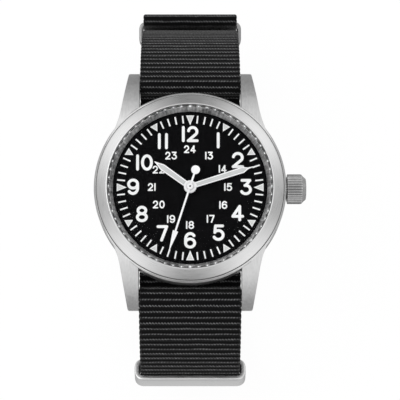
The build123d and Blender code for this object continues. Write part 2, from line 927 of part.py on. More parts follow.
# Third wheel: its wheel meets the fourth wheel's leaves, its leaves the centre wheel
with BuildPart() as third_wheel:
    with BuildSketch(level(third_level)):
        with BuildLine():
            back = third_angle + 180
            Polyline(*wheel_outline(third_teeth, third_module, back, third_site), close=True)
        make_face()
    extrude(amount=wheel_thick)
    with BuildSketch(level(third_level + wheel_thick)):
        with BuildLine():
            Polyline(*leaf_outline(leaf_count, centre_module, back, third_site), close=True)
        make_face()
    extrude(amount=centre_level + leaf_over - third_level - wheel_thick)
    with BuildSketch(level(arbor_back)):
        with Locations(third_site):
            Circle(arbor_r)
    extrude(amount=arbor_front - arbor_back)
third_wheel.part.label = "third_wheel"
export_step(third_wheel.part, "parts/third_wheel.step")

# Fourth wheel: carries the second hand on a long arbor through the centre wheel's tube
with BuildPart() as fourth_wheel:
    with BuildSketch(level(fourth_level)):
        with BuildLine():
            Polyline(*wheel_outline(fourth_teeth, fourth_module, fifth_angle), close=True)
        make_face()
    extrude(amount=wheel_thick)
    with BuildSketch(level(fourth_level + wheel_thick)):
        with BuildLine():
            Polyline(*leaf_outline(leaf_count, third_module, third_angle), close=True)
        make_face()
    extrude(amount=third_level + leaf_over - fourth_level - wheel_thick)
    with BuildSketch(level(arbor_back)):
        Circle(fourth_arbor_r)
    extrude(amount=second_hand_level + hand_thick - arbor_back)
fourth_wheel.part.label = "fourth_wheel"
export_step(fourth_wheel.part, "parts/fourth_wheel.step")

# Fifth wheel: its leaves turn the fourth wheel, its wheel is turned by the rotor
with BuildPart() as fifth_wheel:
    with BuildSketch(level(fourth_level - leaf_over / 4)):
        with BuildLine():
            back = fifth_angle + 180
            Polyline(*leaf_outline(leaf_count, fourth_module, back, fifth_site), close=True)
        make_face()
    extrude(amount=third_level - fourth_level + leaf_over / 4)
    with BuildSketch(level(third_level)):
        with BuildLine():
            Polyline(
                *wheel_outline(fifth_teeth, fifth_module, rotor_angle, fifth_site), close=True
            )
        make_face()
    extrude(amount=wheel_thick)
    with BuildSketch(level(arbor_back)):
        with Locations(fifth_site):
            Circle(arbor_r)
    extrude(amount=arbor_front - arbor_back)
fifth_wheel.part.label = "fifth_wheel"
export_step(fifth_wheel.part, "parts/fifth_wheel.step")

# Rotor: a small magnet on six leaves
with BuildPart() as rotor:
    with BuildSketch(level(third_level - leaf_over / 4)):
        with BuildLine():
            back = rotor_angle + 180
            Polyline(*leaf_outline(leaf_count, fifth_module, back, rotor_site), close=True)
        make_face()
    extrude(amount=magnet_level - third_level + leaf_over / 4)
    with BuildSketch(level(magnet_level)):
        with Locations(rotor_site):
            RegularPolygon(magnet_r, hidden_sides)
    extrude(amount=magnet_height)
    with BuildSketch(level(arbor_back)):
        with Locations(rotor_site):
            Circle(arbor_r)
    extrude(amount=arbor_front - arbor_back)
rotor.part.label = "rotor"
export_step(rotor.part, "parts/rotor.step")

# Motor: stator plate, coil core lying on its legs, and the winding
with BuildPart() as stator:
    with BuildSketch(level(stator_level)):
        with Locations(
            (
                (stator_left + stator_right) / 2,
                (stator_front_y + coil_y + core_width / 2) / 2,
            )
        ):
            RectangleRounded(
                stator_right - stator_left,
                coil_y + core_width / 2 - stator_front_y,
                core_width / 2 - pocket_gap,
            )
        with Locations(
            (
                (stator_left + stator_right) / 2,
                (stator_inner_y + coil_y + core_width) / 2,
            )
        ):
            Rectangle(
                stator_right - stator_left - 2 * stator_leg,
                coil_y + core_width - stator_inner_y,
                mode=Mode.SUBTRACT,
            )
        with Locations(rotor_site):
            RegularPolygon(
                stator_hole_r, hidden_sides, major_radius=False, mode=Mode.SUBTRACT
            )
    extrude(amount=stator_thick)
stator.part.label = "stator"
export_step(stator.part, "parts/stator.step")

core_mid = stator_level - stator_thick / 2
with BuildPart() as coil_core:
    with BuildSketch(level(stator_level - stator_thick)):
        with Locations(((stator_left + stator_right) / 2, coil_y)):
            RectangleRounded(
                stator_right - stator_left, core_width, core_width / 2 - pocket_gap
            )
    extrude(amount=stator_thick)
coil_core.part.label = "coil_core"
export_step(coil_core.part, "parts/coil_core.step")

with BuildPart() as coil_winding:
    with BuildSketch(Plane.YZ.offset(coil_centre_x - coil_length / 2)):
        with Locations((coil_y, crown_z + core_mid)):
            Circle(coil_radius)
            Rectangle(
                core_width + 2 * running_fit,
                stator_thick + 2 * running_fit,
                mode=Mode.SUBTRACT,
            )
    extrude(amount=coil_length)
coil_winding.part.label = "coil_winding"
export_step(coil_winding.part, "parts/coil_winding.step")

# Battery and the strip that holds it
with BuildPart() as battery:
    with BuildSketch(level(battery_back)):
        with Locations((battery_x, battery_y)):
            Circle(battery_radius)
    extrude(amount=battery_height)
battery.part.label = "battery"
export_step(battery.part, "parts/battery.step")

clamp_inner = battery_radius + pocket_gap + clamp_leg_gap
clamp_back = battery_back - clamp_thick
with BuildPart() as battery_clamp:
    with BuildSketch(Plane.YZ.offset(battery_x - clamp_width / 2)):
        with Locations((battery_y, crown_z + (clamp_back + plate_back) / 2)):
            Rectangle(2 * (clamp_inner + clamp_thick), plate_back - clamp_back)
        with Locations((battery_y, crown_z + (battery_back + plate_back) / 2)):
            Rectangle(2 * clamp_inner, plate_back - battery_back, mode=Mode.SUBTRACT)
    extrude(amount=clamp_width)
battery_clamp.part.label = "battery_clamp"
export_step(battery_clamp.part, "parts/battery_clamp.step")

# Circuit board with its sealed chip, and the quartz can that lies on it
board_sweep = board_end - board_start
with BuildPart() as circuit_board:
    with BuildSketch(level(plate_back - board_thick)):
        with BuildLine():
            CenterArc((0, 0), board_outer_r, board_start, board_sweep)
            CenterArc((0, 0), board_inner_r, board_start, board_sweep)
            Line(polar(board_inner_r, board_start), polar(board_outer_r, board_start))
            Line(polar(board_inner_r, board_end), polar(board_outer_r, board_end))
        make_face()
    extrude(amount=board_thick)
    with BuildSketch(level(plate_back - board_thick)):
        with Locations(Location((*polar(chip_radius, chip_angle), 0), chip_angle)):
            Rectangle(chip_size, chip_size)
    extrude(amount=-chip_height, taper=chip_taper)
circuit_board.part.label = "circuit_board"
export_step(circuit_board.part, "parts/circuit_board.step")

can_middle = polar(can_reach, can_angle)
can_way = (cos(radians(can_angle + 90)), sin(radians(can_angle + 90)), 0)
can_z = crown_z + plate_back - board_thick - can_radius
with BuildPart() as quartz_can:
    with BuildSketch(
        Plane(
            origin=(
                can_middle[0] - can_way[0] * can_length / 2,
                can_middle[1] - can_way[1] * can_length / 2,
                can_z,
            ),
            x_dir=(0, 0, 1),
            z_dir=can_way,
        )
    ):
        Circle(can_radius)
    extrude(amount=can_length)
quartz_can.part.label = "quartz_can"
export_step(quartz_can.part, "parts/quartz_can.step")

# Motion works: cannon pinion, minute wheel with its leaves, and hour wheel
with BuildPart() as cannon_pinion:
    with BuildSketch(level(cannon_level)):
        with BuildLine():
            Polyline(
                *leaf_outline(cannon_teeth, works_module, minute_wheel_angle), close=True
            )
        make_face()
    extrude(amount=cannon_leaf_height)
    with BuildSketch(level(cannon_level)):
        Circle(cannon_r)
    extrude(amount=minute_hand_level + hand_thick - cannon_level)
    with BuildSketch(level(cannon_level)):
        RegularPolygon(cannon_bore_r, hidden_sides, major_radius=False)
    extrude(amount=minute_hand_level - cannon_level + hand_thick, mode=Mode.SUBTRACT)
cannon_pinion.part.label = "cannon_pinion"
export_step(cannon_pinion.part, "parts/cannon_pinion.step")

with BuildPart() as minute_wheel:
    with BuildSketch(level(minute_level)):
        with BuildLine():
            back = minute_wheel_angle + 180
            Polyline(*wheel_outline(minute_teeth, works_module, back, minute_site), close=True)
        make_face()
    extrude(amount=wheel_thick)
    with BuildSketch(level(minute_level + wheel_thick)):
        with BuildLine():
            Polyline(*leaf_outline(minute_leaves, works_module, back, minute_site), close=True)
        make_face()
    extrude(amount=minute_leaf_front - minute_level - wheel_thick)
    with BuildSketch(level(minute_level)):
        with Locations(minute_site):
            Circle(minute_post_r + running_fit)
    extrude(amount=minute_leaf_front - minute_level, mode=Mode.SUBTRACT)
minute_wheel.part.label = "minute_wheel"
export_step(minute_wheel.part, "parts/minute_wheel.step")

with BuildPart() as hour_wheel:
    with BuildSketch(level(hour_level)):
        with BuildLine():
            Polyline(*wheel_outline(hour_teeth, works_module, minute_wheel_angle), close=True)
        make_face()
    extrude(amount=hour_wheel_thick)
    with BuildSketch(level(hour_level)):
        Circle(hour_tube_r)
    extrude(amount=hour_hand_level + hand_thick - hour_level)
    with BuildSketch(level(hour_level)):
        RegularPolygon(hour_tube_bore_r, hidden_sides, major_radius=False)
    extrude(amount=hour_hand_level + hand_thick - hour_level, mode=Mode.SUBTRACT)
hour_wheel.part.label = "hour_wheel"
export_step(hour_wheel.part, "parts/hour_wheel.step")

# Dial, and the raised triangles at the hours
with BuildPart() as dial:
    with BuildSketch(Plane.XY.offset(dial_back_z)):
        Circle(dial_radius)
        Circle(dial_hole_r, mode=Mode.SUBTRACT)
    extrude(amount=dial_thick)
dial.part.label = "dial"
export_step(dial.part, "parts/dial.step")

with BuildPart() as hour_markers:
    for hour in range(12):
        height = cardinal_height if hour % 3 == 0 else marker_height
        with BuildSketch(hand_plane(dial_rise, 30 * hour)):
            with BuildLine():
                Polyline(
                    (-marker_width / 2, marker_base_r),
                    (marker_width / 2, marker_base_r),
                    (0, marker_base_r - height),
                    close=True,
                )
            make_face()
        extrude(amount=marker_thick)
hour_markers.part.label = "hour_markers"
export_step(hour_markers.part, "parts/hour_markers.step")

# Hands: flat blades that end in a needle
with BuildPart() as hour_hand:
    with BuildSketch(hand_plane(hour_hand_level, hour_angle)):
        with BuildLine():
            Polyline(
                (-hour_root_width / 2, 0),
                (-hour_width / 2, hour_shoulder),
                (-needle_width / 2, hour_neck),
                (-tip_width / 2, hour_tip),
                (tip_width / 2, hour_tip),
                (needle_width / 2, hour_neck),
                (hour_width / 2, hour_shoulder),
                (hour_root_width / 2, 0),
                close=True,
            )
        make_face()
        Circle(hand_hub_r)
        Circle(hour_tube_r + hand_fit, mode=Mode.SUBTRACT)
    extrude(amount=hand_thick)
hour_hand.part.label = "hour_hand"
export_step(hour_hand.part, "parts/hour_hand.step")

with BuildPart() as minute_hand:
    with BuildSketch(hand_plane(minute_hand_level, minute_angle)):
        with BuildLine():
            Polyline(
                (-minute_root_width / 2, 0),
                (-minute_width / 2, minute_shoulder),
                (-needle_width / 2, minute_neck),
                (-tip_width / 2, minute_tip),
                (tip_width / 2, minute_tip),
                (needle_width / 2, minute_neck),
                (minute_width / 2, minute_shoulder),
                (minute_root_width / 2, 0),
                close=True,
            )
        make_face()
        Circle(hand_hub_r)
        Circle(cannon_r + hand_fit, mode=Mode.SUBTRACT)
    extrude(amount=hand_thick)
minute_hand.part.label = "minute_hand"
export_step(minute_hand.part, "parts/minute_hand.step")

with BuildPart() as second_hand:
    with BuildSketch(hand_plane(second_hand_level, second_angle)):
        with BuildLine():
            Polyline(
                (-second_width / 2, -second_tail),
                (-second_width / 2, second_arrow_r),
                (-second_arrow_width / 2, second_arrow_r),
                (-tip_width / 2, second_tip),
                (tip_width / 2, second_tip),
                (second_arrow_width / 2, second_arrow_r),
                (second_width / 2, second_arrow_r),
                (second_width / 2, -second_tail),
                close=True,
            )
        make_face()
        with Locations((0, -second_tail)):
            Circle(second_tail_r)
        Circle(second_hub_r)
        Circle(fourth_arbor_r + hand_fit, mode=Mode.SUBTRACT)
    extrude(amount=hand_thick)
second_hand.part.label = "second_hand"
export_step(second_hand.part, "parts/second_hand.step")

# Spring bars: a tube, a spring and two sliding tips at each end of the case
for hour_name, side_y in (("12", bar_y), ("6", -bar_y)):
    with BuildPart() as spring_bar:
        with BuildSketch(Plane.YZ):
            with Locations((side_y, bar_z)):
                Circle(bar_radius)
                RegularPolygon(
                    bar_bore_r, hidden_sides, major_radius=False, mode=Mode.SUBTRACT
                )
        extrude(amount=bar_half, both=True)
    spring_bar.part.label = "spring_bar_" + hour_name
    export_step(spring_bar.part, f"parts/spring_bar_{hour_name}.step")

    with BuildPart() as bar_spring:
        with BuildSketch(Plane.YZ):
            with Locations((side_y, bar_z)):
                RegularPolygon(bar_spring_r, hidden_sides)
                RegularPolygon(bar_spring_bore_r, hidden_sides, mode=Mode.SUBTRACT)
        extrude(amount=tip_shank_start - bar_spring_gap, both=True)
    bar_spring.part.label = "bar_spring_" + hour_name
    export_step(bar_spring.part, f"parts/bar_spring_{hour_name}.step")

    for side_name, side_x in (("right", 1), ("left", -1)):
        with BuildPart() as bar_tip:
            with BuildSketch(Plane.YZ.offset(side_x * tip_shank_start)):
                with Locations((side_y, bar_z)):
                    RegularPolygon(tip_shank_r, hidden_sides)
            extrude(amount=side_x * (tip_shank_end - tip_shank_start))
            with BuildSketch(Plane.YZ.offset(side_x * tip_shank_end)):
                with Locations((side_y, bar_z)):
                    RegularPolygon(tip_pin_r, hidden_sides)
            extrude(amount=side_x * (tip_pin_end - tip_shank_end))
        bar_tip.part.label = f"bar_tip_{hour_name}_{side_name}"
        export_step(bar_tip.part, f"parts/bar_tip_{hour_name}_{side_name}.step")

# Long strap: hemmed round the buckle's bar, over both spring bars, down to the buckle
with BuildPart() as strap_long:
    with BuildSketch(Plane.YZ):
        with BuildLine():
            draw_band((0, main_mid_z), 0, run_12 + run_bottom_12)
        make_face()
        with BuildLine():
            draw_band((0, main_mid_z), 180, run_6)
        make_face()
    extrude(amount=strap_width / 2, both=True)
    with BuildSketch(Plane.XY.offset(bottom_z - strap_thick)):
        with Locations((0, buckle_y)):
            Rectangle(tongue_slot, 2 * (wrap_r + strap_thick))
    extrude(amount=hem_step + 2 * strap_thick, mode=Mode.SUBTRACT)
strap_long.part.label = "strap_long"
export_step(strap_long.part, "parts/strap_long.step")

# Buckle: the frame and the tongue both turn on one bar, outwards from the wrist
far_z = bottom_z + layer_step - strap_thick / 2 - wire_gap - buckle_wire / 2
frame_tilt = degrees(asin((hinge_z - far_z) / buckle_reach))
tongue_lift = buckle_wire / 2 + tongue_fit + tongue_thick / 2
tongue_tilt = frame_tilt + degrees(asin(tongue_lift / buckle_reach))
frame_half = strap_width / 2 + buckle_side_gap + buckle_wire


def from_bar(tilt_angle, at_x=0.0):
    """Plane on the buckle's bar; +X runs along the piece towards its free end."""
    way = radians(tilt_angle)
    return Plane(
        origin=(at_x, buckle_y, hinge_z), x_dir=(0, -cos(way), -sin(way)), z_dir=(1, 0, 0)
    )


def bar_plane(tilt_angle):
    """Plane of the frame: +Y runs from the bar to the far side."""
    way = radians(tilt_angle)
    return Plane(
        origin=(0, buckle_y, hinge_z), x_dir=(1, 0, 0), z_dir=(0, sin(way), -cos(way))
    )


with BuildPart() as buckle_frame:
    with BuildSketch(bar_plane(frame_tilt)):
        with Locations((0, (buckle_reach + buckle_wire / 2 - buckle_eye_r) / 2)):
            RectangleRounded(
                2 * frame_half, buckle_reach + buckle_wire / 2 + buckle_eye_r, buckle_corner
            )
        with Locations((0, (buckle_reach - buckle_wire / 2 - buckle_corner) / 2)):
            Rectangle(
                2 * (frame_half - buckle_wire),
                buckle_reach - buckle_wire / 2 + buckle_corner,
                mode=Mode.SUBTRACT,
            )
        with Locations((0, -buckle_eye_r)):
            Rectangle(2 * (frame_half - buckle_wire), buckle_eye_r, mode=Mode.SUBTRACT)
    extrude(amount=buckle_wire / 2, both=True)
    chamfer(
        buckle_frame.edges().filter_by(lambda e: e.length > 2 * buckle_wire), length=buckle_edge
    )
    with BuildSketch(Plane.YZ.offset(-frame_half)):
        with Locations((buckle_y, hinge_z)):
            Circle(buckle_bar_r)
    extrude(amount=2 * frame_half, mode=Mode.SUBTRACT)
buckle_frame.part.label = "buckle_frame"
export_step(buckle_frame.part, "parts/buckle_frame.step")

with BuildPart() as buckle_bar:
    with BuildSketch(Plane.YZ):
        with Locations((buckle_y, hinge_z)):
            Circle(buckle_bar_r)
    extrude(amount=frame_half, both=True)
buckle_bar.part.label = "buckle_bar"
export_step(buckle_bar.part, "parts/buckle_bar.step")

with BuildPart() as buckle_tongue:
    with BuildSketch(from_bar(tongue_tilt)):
        Circle(tongue_eye_r)
        with Locations(((buckle_reach + tongue_over) / 2, 0)):
            Rectangle(buckle_reach + tongue_over, tongue_thick)
        Circle(buckle_bar_r + tongue_fit, mode=Mode.SUBTRACT)
    extrude(amount=tongue_width / 2, both=True)
buckle_tongue.part.label = "buckle_tongue"
export_step(buckle_tongue.part, "parts/buckle_tongue.step")

# Tail: from the buckle up the outside of the 12 o'clock half, with its end folded back
hinge_r = wrap_r + layer_step
tilt = radians(tail_tilt)
tail_slope = (2 * layer_step - (tail_bend_r + hinge_r) * (1 - cos(tilt))) / sin(tilt)
tail_dip_y = buckle_y - (tail_bend_r + hinge_r) * sin(tilt) - tail_slope * cos(tilt)
tail_start = (strap_end_y, bottom_z + layer_step)
tail_steps = [
    (tail_dip_y - strap_end_y,),
    (tail_bend_r, -tail_tilt),
    (tail_slope,),
    (hinge_r, tail_tilt),
    (buckle_run,),
    (corner_r + layer_step, 90),
    (flank_r + layer_step, tail_lean),
    (tail_rise,),
    (fold_r, -180),
    (fold_back,),
]
hole_at = tail_dip_y - strap_end_y + buckle_reach / 2
with BuildPart() as strap_tail:
    with BuildSketch(Plane.YZ):
        with BuildLine():
            draw_band(tail_start, 0, tail_steps)
        make_face()
    extrude(amount=strap_width / 2, both=True)
    with BuildSketch(from_bar(tongue_tilt, -tongue_width / 2 - tail_hole_gap)):
        with Locations(((buckle_reach + hinge_r) / 2, 0)):
            Rectangle(buckle_reach - hinge_r, tongue_thick + 2 * tail_hole_gap)
    extrude(amount=tongue_width + 2 * tail_hole_gap, mode=Mode.SUBTRACT)
    for hole in range(hole_count):
        point, way = along(tail_start, 0, tail_steps, hole_at + (hole + 1) * hole_pitch)
        with BuildSketch(across(point, way + 90)):
            Circle(hole_radius)
        extrude(amount=strap_thick, both=True, mode=Mode.SUBTRACT)
strap_tail.part.label = "strap_tail"
export_step(strap_tail.part, "parts/strap_tail.step")

# Ring at 6 o'clock: the long strap runs through it, the short strap's hem holds it
ring_distance = flat_length + climb + radians(90) * under_bend_r
ring_distance = ring_distance + radians(over_bar_turn) * wrap_r + radians(ring_turn) * shoulder_r
ring_point, ring_way = along((0, main_mid_z), 180, run_6, ring_distance)
ring_face = strap_thick / 2 + hardware_side_gap
ring_half = strap_width / 2 + hardware_side_gap + ring_wall
with BuildPart() as strap_ring:
    with BuildSketch(across(ring_point, ring_way)):
        with Locations((0, ring_face + ring_wall - ring_depth / 2)):
            RectangleRounded(2 * ring_half, ring_depth, ring_corner)
            RectangleRounded(
                2 * (ring_half - ring_wall),
                ring_depth - 2 * ring_wall,
                ring_inner_corner,
                mode=Mode.SUBTRACT,
            )
    extrude(amount=ring_height / 2, both=True)
strap_ring.part.label = "strap_ring"
export_step(strap_ring.part, "parts/strap_ring.step")

# Keepers: two closed bands round the layers of the 12 o'clock half
keeper_half = strap_width / 2 + keeper_side_gap + keeper_wall
keeper_near = strap_thick / 2 + hardware_side_gap
keeper_far = strap_thick / 2 + layer_step + 2 * fold_r + 2 * hardware_side_gap
flank_start = flat_length + climb + radians(90) * under_bend_r
flank_start = flank_start + radians(over_bar_turn) * wrap_r
flank_start = flank_start + radians(shoulder_turn) * shoulder_r
upper_distance = flank_start + radians(upper_keeper_turn) * flank_r
lower_distance = flank_start + radians(flank_turn) * flank_r
lower_distance = lower_distance + radians(lower_keeper_turn) * corner_r
keeper_sites = {
    "keeper_upper": (upper_distance, keeper_far),
    "keeper_lower": (lower_distance, strap_thick / 2 + layer_step + hardware_side_gap),
}
for keeper_name, (distance, far_side) in keeper_sites.items():
    keeper_point, keeper_way = along((0, main_mid_z), 0, run_12 + run_bottom_12, distance)
    with BuildPart() as keeper:
        with BuildSketch(across(keeper_point, keeper_way)):
            with Locations((0, (keeper_near - far_side) / 2)):
                RectangleRounded(
                    2 * keeper_half, keeper_near + far_side + 2 * keeper_wall, keeper_corner
                )
                RectangleRounded(
                    2 * (keeper_half - keeper_wall),
                    keeper_near + far_side,
                    keeper_inner_corner,
                    mode=Mode.SUBTRACT,
                )
        extrude(amount=keeper_height / 2, both=True)
    keeper.part.label = keeper_name
    export_step(keeper.part, f"parts/{keeper_name}.step")

# Short strap: under the case, from the hem at the buckle to its own hem round the ring
inner_bend = flank_end[0] - hem_step - inner_flat
ring_wrap = ring_wall / 2 + wire_gap + strap_thick / 2
inner_leg = ring_depth - ring_face - ring_wall / 2 * 3 + ring_wrap
ring_turned = radians(ring_way)
leg_point = (
    ring_point[0] - inner_leg * sin(ring_turned) - ring_height / 2 * cos(ring_turned),
    ring_point[1] + inner_leg * cos(ring_turned) - ring_height / 2 * sin(ring_turned),
)
inner_turn = ring_way - 180
hem_r = shoulder_r - layer_step
inner_arc_r = (inner_mid_z - leg_point[1]) / (1 - cos(radians(inner_turn)))
with BuildPart() as strap_short:
    with BuildSketch(Plane.YZ):
        with BuildLine():
            draw_band(
                (0, inner_mid_z),
                0,
                [
                    (inner_flat,),
                    (inner_bend, -90),
                    (inner_mid_z - inner_bend - flank_end[1],),
                    (corner_r - hem_step, -90),
                    (hem_margin - hem_gap,),
                ],
            )
        make_face()
        with BuildLine():
            draw_band(
                (0, inner_mid_z),
                180,
                [
                    (-leg_point[0] - inner_arc_r * sin(radians(inner_turn)),),
                    (inner_arc_r, inner_turn),
                    (ring_height,),
                    (ring_wrap, -180),
                    (ring_height / 2,),
                    (hem_r, -degrees(ring_hem / hem_r)),
                ],
            )
        make_face()
    extrude(amount=strap_width / 2, both=True)
strap_short.part.label = "strap_short"
export_step(strap_short.part, "parts/strap_short.step")
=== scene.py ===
from math import cos, pi, radians, sin

import bmesh
import bpy
import numpy as np
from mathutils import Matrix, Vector


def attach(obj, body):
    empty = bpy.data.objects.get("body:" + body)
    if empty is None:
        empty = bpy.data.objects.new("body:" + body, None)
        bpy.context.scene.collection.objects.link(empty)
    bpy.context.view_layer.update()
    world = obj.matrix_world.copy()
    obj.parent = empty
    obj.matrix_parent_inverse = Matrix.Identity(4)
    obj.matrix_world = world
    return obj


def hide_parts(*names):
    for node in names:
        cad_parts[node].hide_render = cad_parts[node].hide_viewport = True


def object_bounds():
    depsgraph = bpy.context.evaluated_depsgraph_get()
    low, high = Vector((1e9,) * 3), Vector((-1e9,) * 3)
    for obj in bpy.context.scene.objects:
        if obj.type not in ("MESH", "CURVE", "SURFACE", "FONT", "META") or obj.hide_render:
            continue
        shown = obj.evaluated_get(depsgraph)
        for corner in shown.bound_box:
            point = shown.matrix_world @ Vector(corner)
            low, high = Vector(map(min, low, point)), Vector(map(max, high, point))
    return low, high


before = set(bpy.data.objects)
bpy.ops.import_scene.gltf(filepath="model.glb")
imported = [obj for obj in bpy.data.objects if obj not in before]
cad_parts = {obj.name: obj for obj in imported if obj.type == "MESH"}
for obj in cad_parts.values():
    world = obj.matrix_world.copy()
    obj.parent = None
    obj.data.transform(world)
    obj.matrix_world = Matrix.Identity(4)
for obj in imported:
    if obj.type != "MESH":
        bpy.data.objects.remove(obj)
cad_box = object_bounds()

# Field watch on a ribbed pass-through strap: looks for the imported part.
# Every length below is in millimetres, as in part.py, and becomes metres in make_piece.
# +Z is the dial's normal, +Y points to 12 o'clock, +X to the crown.

mm = 0.001

# Sizes repeated from part.py
strap_width = 20.1
strap_thick = 1.0
layer_step = 1.15
main_mid_z = 1.65
inner_mid_z = 0.5
crown_z = 5.9
crown_start_x = 19.05
grip_end_x = 22.0
grip_r = 2.95
flutes = 36
case_top_z = 8.9
barrel_r = 18.95
barrel_chamfer = 0.15
dial_top_z = 8.1
crystal_z = 10.0
bezel_radius = 18.3
bezel_bore_r = 16.06
bezel_neck_r = 16.95
bezel_crest_r = 16.6
flat_length = 18.3
climb = 0.95
under_bend_r = 1.6
wrap_r = 1.35
over_bar_turn = 120.0
shoulder_r = 33.3
shoulder_turn = 45.0
flank_r = 61.0
flank_turn = 15.0
side_turn = 39.0
side_bend_r = 10.0
side_bend_turn = 24.0
corner_r = 21.0
flank_end = (39.51885, -30.6388)
bottom_z = -51.6388
buckle_y = 13.0
strap_end_y = 4.4
rib_pitch = 1.33


# ---- mesh making


def make_piece(name, points, faces, material, body="watch", slot=None, uv=None, smooth=True):
    """Mesh object from an array of points in millimetres and a list of faces."""
    mesh = bpy.data.meshes.new(name)
    mesh.from_pydata(np.asarray(points, float).reshape(-1, 3) * mm, [], faces)
    if uv is not None:
        layer = mesh.uv_layers.new(name="run")
        corner = np.empty(len(mesh.loops), dtype=np.int32)
        mesh.loops.foreach_get("vertex_index", corner)
        layer.data.foreach_set("uv", np.asarray(uv, float).reshape(-1, 2)[corner].ravel())
    mesh.polygons.foreach_set("use_smooth", np.full(len(mesh.polygons), smooth))
    mesh.materials.append(material)
    mesh.update()
    piece = bpy.data.objects.new(name, mesh)
    bpy.context.scene.collection.objects.link(piece)
    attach(piece, body)
    return piece


def grid_faces(rows, columns, wrap_rows=False, wrap_columns=False):
    """Quads of a grid whose vertex (i, j) has the index i * columns + j."""
    i = np.arange(rows if wrap_rows else rows - 1)
    j = np.arange(columns if wrap_columns else columns - 1)
    i, j = [a.ravel() for a in np.meshgrid(i, j, indexing="ij")]
    i2, j2 = (i + 1) % rows, (j + 1) % columns
    quads = np.stack([i * columns + j, i2 * columns + j, i2 * columns + j2, i * columns + j2])
    return quads.T.tolist()


def outward(piece, merge=True):
    """Merge doubled points where asked and turn every face outwards."""
    build = bmesh.new()
    build.from_mesh(piece.data)
    if merge:
        bmesh.ops.remove_doubles(build, verts=build.verts, dist=1e-7)
    bmesh.ops.recalc_face_normals(build, faces=build.faces)
    build.to_mesh(piece.data)
    build.free()
    return piece


crease = radians(32)


def soften(piece, width):
    """Bevel the sharp edges of a piece by a width in millimetres."""
    bevel = piece.modifiers.new("edge", "BEVEL")
    bevel.width = width * mm
    bevel.segments = 2
    bevel.limit_method = "ANGLE"
    bevel.angle_limit = crease
    even = piece.modifiers.new("even", "WEIGHTED_NORMAL")
    even.keep_sharp = True
    even.weight = 80


def refined(node, material, width, body="watch"):
    """A merged copy of a CAD node, smooth over its curves, with softened edges."""
    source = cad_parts[node]
    mesh = source.data.copy()
    mesh.transform(source.matrix_world)
    mesh.materials.clear()
    mesh.materials.append(material)
    piece = bpy.data.objects.new(node + "_finished", mesh)
    bpy.context.scene.collection.objects.link(piece)
    build = bmesh.new()
    build.from_mesh(mesh)
    bmesh.ops.remove_doubles(build, verts=build.verts, dist=1e-6)
    bmesh.ops.dissolve_limit(build, angle_limit=radians(0.3), verts=build.verts, edges=build.edges)
    build.to_mesh(mesh)
    build.free()
    mesh.polygons.foreach_set("use_smooth", np.full(len(mesh.polygons), True))
    mesh.set_sharp_from_angle(angle=crease)
    soften(piece, width)
    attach(piece, body)
    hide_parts(node)
    return piece


def turned(name, profile, material, body="watch", sides=256, slot=None):
    """A shape turned on the lathe: point (r, z) of the profile goes to (r cos a, r sin a, z).

    The UV runs along the turn and along the profile, both in millimetres.
    """
    profile = np.asarray(profile, float)
    angle = np.linspace(0, 2 * pi, sides + 1)
    r = profile[:, 0][:, None]
    x, y = r * np.cos(angle), r * np.sin(angle)
    z = np.broadcast_to(profile[:, 1][:, None], x.shape)
    length = np.r_[0, np.cumsum(np.hypot(*np.diff(profile, axis=0).T))]
    around = np.broadcast_to(angle * profile[:, 0].max(), x.shape)
    along = np.broadcast_to(length[:, None], x.shape)
    uv = np.stack([around, along], -1)
    faces = grid_faces(len(profile), sides + 1)
    piece = make_piece(name, np.stack([x, y, z], -1), faces, material, body, slot, uv)
    return outward(piece)


def rounded(points, radius, steps):
    """Replace each corner of a closed outline by an arc that starts radius before it."""
    points = np.asarray(points, float)
    before, after = np.roll(points, 1, 0), np.roll(points, -1, 0)
    radius = np.broadcast_to(radius, len(points))[:, None]
    a = points + (before - points) * radius / np.linalg.norm(before - points, axis=1)[:, None]
    b = points + (after - points) * radius / np.linalg.norm(after - points, axis=1)[:, None]
    t = np.linspace(0, 1, steps)[None, :, None]
    corner = a[:, None] * (1 - t) ** 2 + 2 * points[:, None] * t * (1 - t) + b[:, None] * t**2
    return corner.reshape(-1, 2)


# ---- materials


